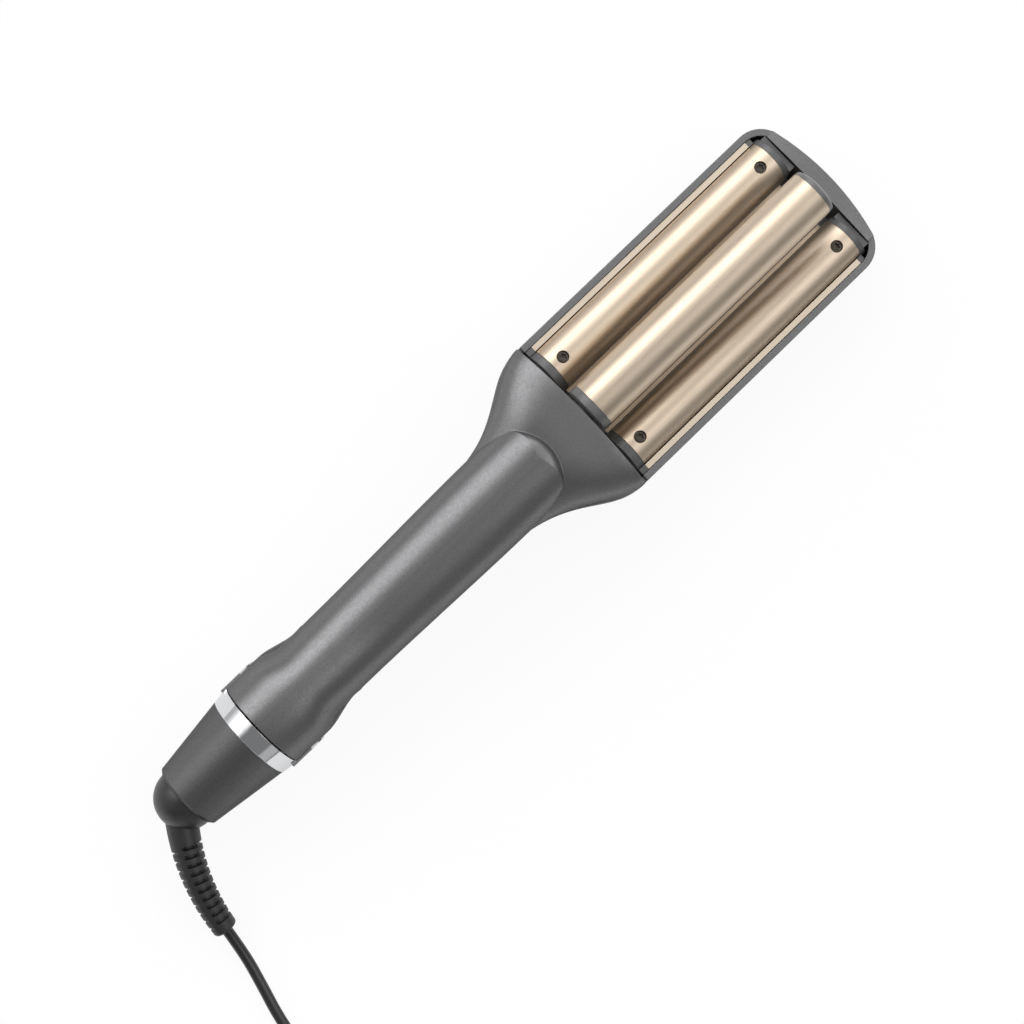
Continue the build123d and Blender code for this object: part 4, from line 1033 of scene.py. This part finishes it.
@dataclass
class MainsCord(SubAssembly):
    """Round black mains cord: out of the strain relief, along the floor and into its wound coil."""

    nodes: ClassVar[tuple[str, ...]] = ("cord_tie",)
    diameter: float = 0.0044
    coil_centre: Vector = field(default_factory=lambda: Vector((-0.2391, -0.117, 0.0)))
    outer_radius: float = 0.0352
    inner_radius: float = 0.0132
    lower_height: float = 0.0029
    upper_height: float = 0.0073
    turns: float = 11.5
    points_per_turn: int = 16
    climb_start: float = 5.2
    climb_end: float = 5.9
    climb_rest: float = 0.2
    climb_dip: float = 0.0018
    run_out: tuple[tuple[float, float, float], ...] = (
        (-0.190491, -0.0465, 0.007365),
        (-0.1924, -0.0580, 0.0036),
        (-0.1954, -0.0695, 0.0022),
        (-0.2010, -0.0890, 0.0022),
    )
    lead: tuple[tuple[float, float, float], ...] = (
        (-0.2749, -0.1010, 0.0074),
        (-0.2786, -0.0870, 0.0078),
        (-0.2845, -0.0745, 0.0080),
    )
    tail_start: Vector = field(default_factory=lambda: Vector((-0.2405, -0.1412, 0.0108)))
    tail_heading: Vector = field(default_factory=lambda: Vector((-0.94, 0.34, 0.0)).normalized())
    tail_length: float = 0.017
    tail_half_mm: tuple[float, float] = (1.1, 0.35)
    tail_turns: float = 3.5
    tail_steps: int = 72

    def coil_point(self, turn: float) -> Vector:
        """Centre of the cord after a number of turns of the coil.

        Args:
            turn: Turns wound so far, from the outside of the lower layer.

        Returns:
            The point in the model's frame.
        """
        pitch = self.diameter
        into = min(turn, (self.outer_radius - self.inner_radius) / pitch) * pitch
        out = max(turn - self.climb_end - self.climb_rest, 0.0) * pitch
        radius = min(self.outer_radius - into + out, self.outer_radius)
        climb = (turn - self.climb_start) / (self.climb_end - self.climb_start)
        climb = min(max(climb, 0.0), 1.0)
        smooth = climb * climb * (3 - 2 * climb)
        radius -= self.climb_dip * math.sin(math.pi * climb)
        height = self.lower_height + (self.upper_height - self.lower_height) * smooth
        angle = -math.tau * turn
        around = Vector((radius * math.cos(angle), radius * math.sin(angle), height))
        return self.coil_centre + around

    def route(self) -> list[Vector]:
        """Control points of the cord from the strain relief to the plug.

        Returns:
            The points in metres.
        """
        steps = round(self.turns * self.points_per_turn)
        coil = [self.coil_point(step / self.points_per_turn) for step in range(steps + 1)]
        return [Vector(p) for p in self.run_out] + coil + [Vector(p) for p in self.lead]

    def build(self) -> None:
        curve = bpy.data.curves.new("mains_cord", "CURVE")
        curve.dimensions = "3D"
        curve.bevel_depth = self.diameter / 2
        curve.bevel_resolution = 5
        curve.resolution_u = 6
        curve.use_fill_caps = True
        points = self.route()
        spline = curve.splines.new("NURBS")
        spline.points.add(len(points) - 1)
        for place, point in zip(spline.points, points):
            place.co = (*point, 1.0)
        spline.order_u = 3
        spline.use_endpoint_u = True
        cord = place_piece(bpy.data.objects.new("mains_cord", curve), Slot.CORD_PVC, "swivel")
        length = self.centre_length(cord)
        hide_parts("cord_tube", "cord_coil", "cord_lead")
        plug = MainsPlug().build()
        self.tie_tail()
        LOG.info("mains_cord is %.3f m long", length)

    def tie_tail(self) -> Piece:
        """Build the twisted end of the tie, which lies on the coil.

        Returns:
            The twisted end.
        """
        side = self.tail_heading.cross(UP)
        half_wide, half_thin = (half * MM for half in self.tail_half_mm)
        corners = ((1, 1), (-1, 1), (-1, -1), (1, -1))
        rings = []
        for step in range(self.tail_steps + 1):
            share = step / self.tail_steps
            centre = self.tail_start + self.tail_heading * self.tail_length * share
            turn = math.tau * self.tail_turns * share
            wide = (side * math.cos(turn) + UP * math.sin(turn)) * half_wide
            thin = (UP * math.cos(turn) - side * math.sin(turn)) * half_thin
            rings.append([centre + wide * a + thin * b for a, b in corners])
        shape = bmesh.new()
        add_rings(shape, rings)
        return finish_mesh(shape, "tie_twist", Slot.TIE_PLASTIC, "swivel")

    def centre_length(self, cord: Piece) -> float:
        """Length of the cord's centre line, from the curve with no bevel.

        Args:
            cord: The cord's curve object.

        Returns:
            The length in metres.
        """
        bare = cord.data.copy()
        bare.bevel_depth = 0.0
        probe = bpy.data.objects.new("centre_line", bare)
        link(probe)
        mesh = bpy.data.meshes.new_from_object(probe)
        bpy.data.objects.remove(probe)
        places = [vertex.co for vertex in mesh.vertices]
        ends = (edge.vertices for edge in mesh.edges)
        return sum((places[a] - places[b]).length for a, b in ends)


# ---- studio ----


@dataclass(frozen=True)
class SoftBox:
    """One soft strip of light around the table, as the world shows it.

    Attributes:
        across: Its middle, half width and fading edge, in degrees to the left of straight up.
        along: The same along the arms, in degrees from straight up towards the tip.
        strength: Its brightness, where 1 is white.
    """

    across: Span
    along: Span
    strength: float

    def add(self, tree: Tree, across: Socket, along: Socket) -> Socket:
        """Add the strip's nodes and return its brightness.

        Args:
            tree: The world's node tree.
            across: Angle to the left of straight up, in radians.
            along: Angle towards the tip, in radians.

        Returns:
            The socket with the strip's brightness.
        """
        wide = self.window(tree, across, self.across)
        long = self.window(tree, along, self.along)
        both = add_node(tree, "ShaderNodeMath", {0: wide, 1: long}, operation="MULTIPLY").outputs[0]
        lit = add_node(tree, "ShaderNodeMath", {0: both, 1: self.strength}, operation="MULTIPLY")
        return lit.outputs[0]

    def window(self, tree: Tree, angle: Socket, span: Span) -> Socket:
        """Add a soft-edged window over an angle.

        Args:
            tree: The world's node tree.
            angle: The angle in radians.
            span: Middle, half width and fading edge of the window, in degrees.

        Returns:
            The socket with 1 inside the window and 0 outside it.
        """
        middle, edge, feather = (math.radians(size) for size in span)
        away = {0: angle, 1: middle}
        off = add_node(tree, "ShaderNodeMath", away, operation="SUBTRACT")
        size = add_node(tree, "ShaderNodeMath", {0: off.outputs[0]}, operation="ABSOLUTE")
        fade = {0: size.outputs[0], 1: edge, 2: edge + feather, 3: 1.0, 4: 0.0}
        soft = add_node(tree, "ShaderNodeMapRange", fade, interpolation_type="SMOOTHSTEP")
        return soft.outputs[0]


@dataclass
class Studio:
    """Pale floor, a world of soft strips as the only light, and the camera."""

    look_at_mm: tuple[float, float] = (116.4, -7.9)
    distance: float = 0.907
    lens_mm: float = 84.4
    roll: tuple[float, float] = (0.7193, 0.6947)
    surround: float = 0.24
    floor_half: float = 3.0
    floor_glow: float = 0.92
    floor_shine: float = 0.56
    strips: tuple[SoftBox, ...] = (
        SoftBox((45.0, 11.0, 18.0), (20.0, 34.0, 26.0), 2.5),
        SoftBox((-28.0, 8.0, 16.0), (34.0, 26.0, 14.0), 1.5),
        SoftBox((0.0, 20.0, 16.0), (34.0, 26.0, 14.0), 0.5),
        SoftBox((46.0, 24.0, 12.0), (-30.0, 30.0, 20.0), 0.45),
        SoftBox((82.0, 8.0, 8.0), (-38.0, 22.0, 12.0), 0.35),
        SoftBox((-74.0, 8.0, 10.0), (-38.0, 22.0, 12.0), 0.3),
    )

    def build(self) -> None:
        """Make the floor, the world and the camera."""
        scene = bpy.context.scene
        scene.view_settings.view_transform = "Standard"
        self.floor()
        self.world(scene)
        scene.camera = self.camera()

    def floor(self) -> None:
        """Make the pale floor, which keeps the object's shadow."""
        mesh = bpy.data.meshes.new("studio_floor")
        half = self.floor_half
        corners = [(-half, -half, 0), (half, -half, 0), (half, half, 0), (-half, half, 0)]
        mesh.from_pydata(corners, [], [(0, 1, 2, 3)])
        floor = bpy.data.objects.new("studio_floor", mesh)
        link(floor)
        material = bpy.data.materials.new("studio_paper_white")
        material.use_nodes = True
        tree = material.node_tree
        tree.nodes.clear()
        paper = add_node(tree, "ShaderNodeBsdfDiffuse", {"Color": linear("#f4f4f4")})
        glow = add_node(tree, "ShaderNodeEmission", {"Color": linear("#ffffff"), "Strength": 1.0})
        path = add_node(tree, "ShaderNodeLightPath").outputs
        rays = {"Is Camera Ray": self.floor_glow, "Is Glossy Ray": self.floor_shine}
        seen, shone = (
            add_node(tree, "ShaderNodeMath", {0: path[ray], 1: part}, operation="MULTIPLY")
            for ray, part in rays.items()
        )
        shares = {0: seen.outputs[0], 1: shone.outputs[0]}
        most = add_node(tree, "ShaderNodeMath", shares, operation="MAXIMUM")
        layers = {0: most.outputs[0], 1: paper.outputs[0], 2: glow.outputs[0]}
        mix = add_node(tree, "ShaderNodeMixShader", layers)
        add_node(tree, "ShaderNodeOutputMaterial", {"Surface": mix.outputs[0]})
        floor.data.materials.append(material)

    def world(self, scene: bpy.types.Scene) -> None:
        """Light the scene from a pale surround with soft strips; the camera sees plain white.

        Args:
            scene: The scene that gets the world.
        """
        world = bpy.data.worlds.new("studio_world")
        world.use_nodes = True
        tree = world.node_tree
        tree.nodes.clear()
        place = add_node(tree, "ShaderNodeTexCoord").outputs["Generated"]
        parts = add_node(tree, "ShaderNodeSeparateXYZ", {0: place}).outputs
        tilt = add_node(tree, "ShaderNodeMath", {0: parts[1], 1: parts[2]}, operation="ARCTAN2")
        reach = add_node(tree, "ShaderNodeMath", {0: parts[0]}, operation="ARCSINE")
        level: object = self.surround
        for strip in self.strips:
            light = strip.add(tree, tilt.outputs[0], reach.outputs[0])
            total = add_node(tree, "ShaderNodeMath", {0: light, 1: level}, operation="ADD")
            level = total.outputs[0]
        seen = add_node(tree, "ShaderNodeLightPath").outputs["Is Camera Ray"]
        strength = add_node(tree, "ShaderNodeMix", {0: seen, 2: level, 3: 1.0}, data_type="FLOAT")
        light = {"Color": linear("#ffffff"), "Strength": strength.outputs[0]}
        background = add_node(tree, "ShaderNodeBackground", light)
        add_node(tree, "ShaderNodeOutputWorld", {"Surface": background.outputs[0]})
        scene.world = world

    def camera(self) -> Piece:
        """Add the camera: square to the front arm, the tip to the upper right.

        Returns:
            The camera.
        """
        across, along = self.roll
        side = Vector((0, 1, 0))
        right = ARM_DIRECTION * across - side * along
        up = ARM_DIRECTION * along + side * across
        ahead, left = self.look_at_mm
        place = HINGE + (ARM_DIRECTION * ahead + side * left) * MM + ARM_NORMAL * self.distance
        data = bpy.data.cameras.new("camera")
        data.lens = self.lens_mm
        data.clip_start = 0.01
        camera = bpy.data.objects.new("camera", data)
        turn = Matrix((right, up, ARM_NORMAL)).transposed().to_4x4()
        camera.matrix_world = Matrix.Translation(place) @ turn
        link(camera)
        return camera


def main() -> None:
    """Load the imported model, dress it, add the fine pieces and set the studio."""
    logging.basicConfig(level=logging.INFO, format="%(message)s")
    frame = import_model()
    Studio().build()
    arms = (FrontArm, CentreBarrel, HingeAndTail, BackArm, OuterBarrels)
    for group in (*arms, ControlPanel, CordSwivel, MainsCord):
        sub_assembly = group(frame)
        sub_assembly.dress()
        sub_assembly.build()


if __name__ == "__main__":
    main()
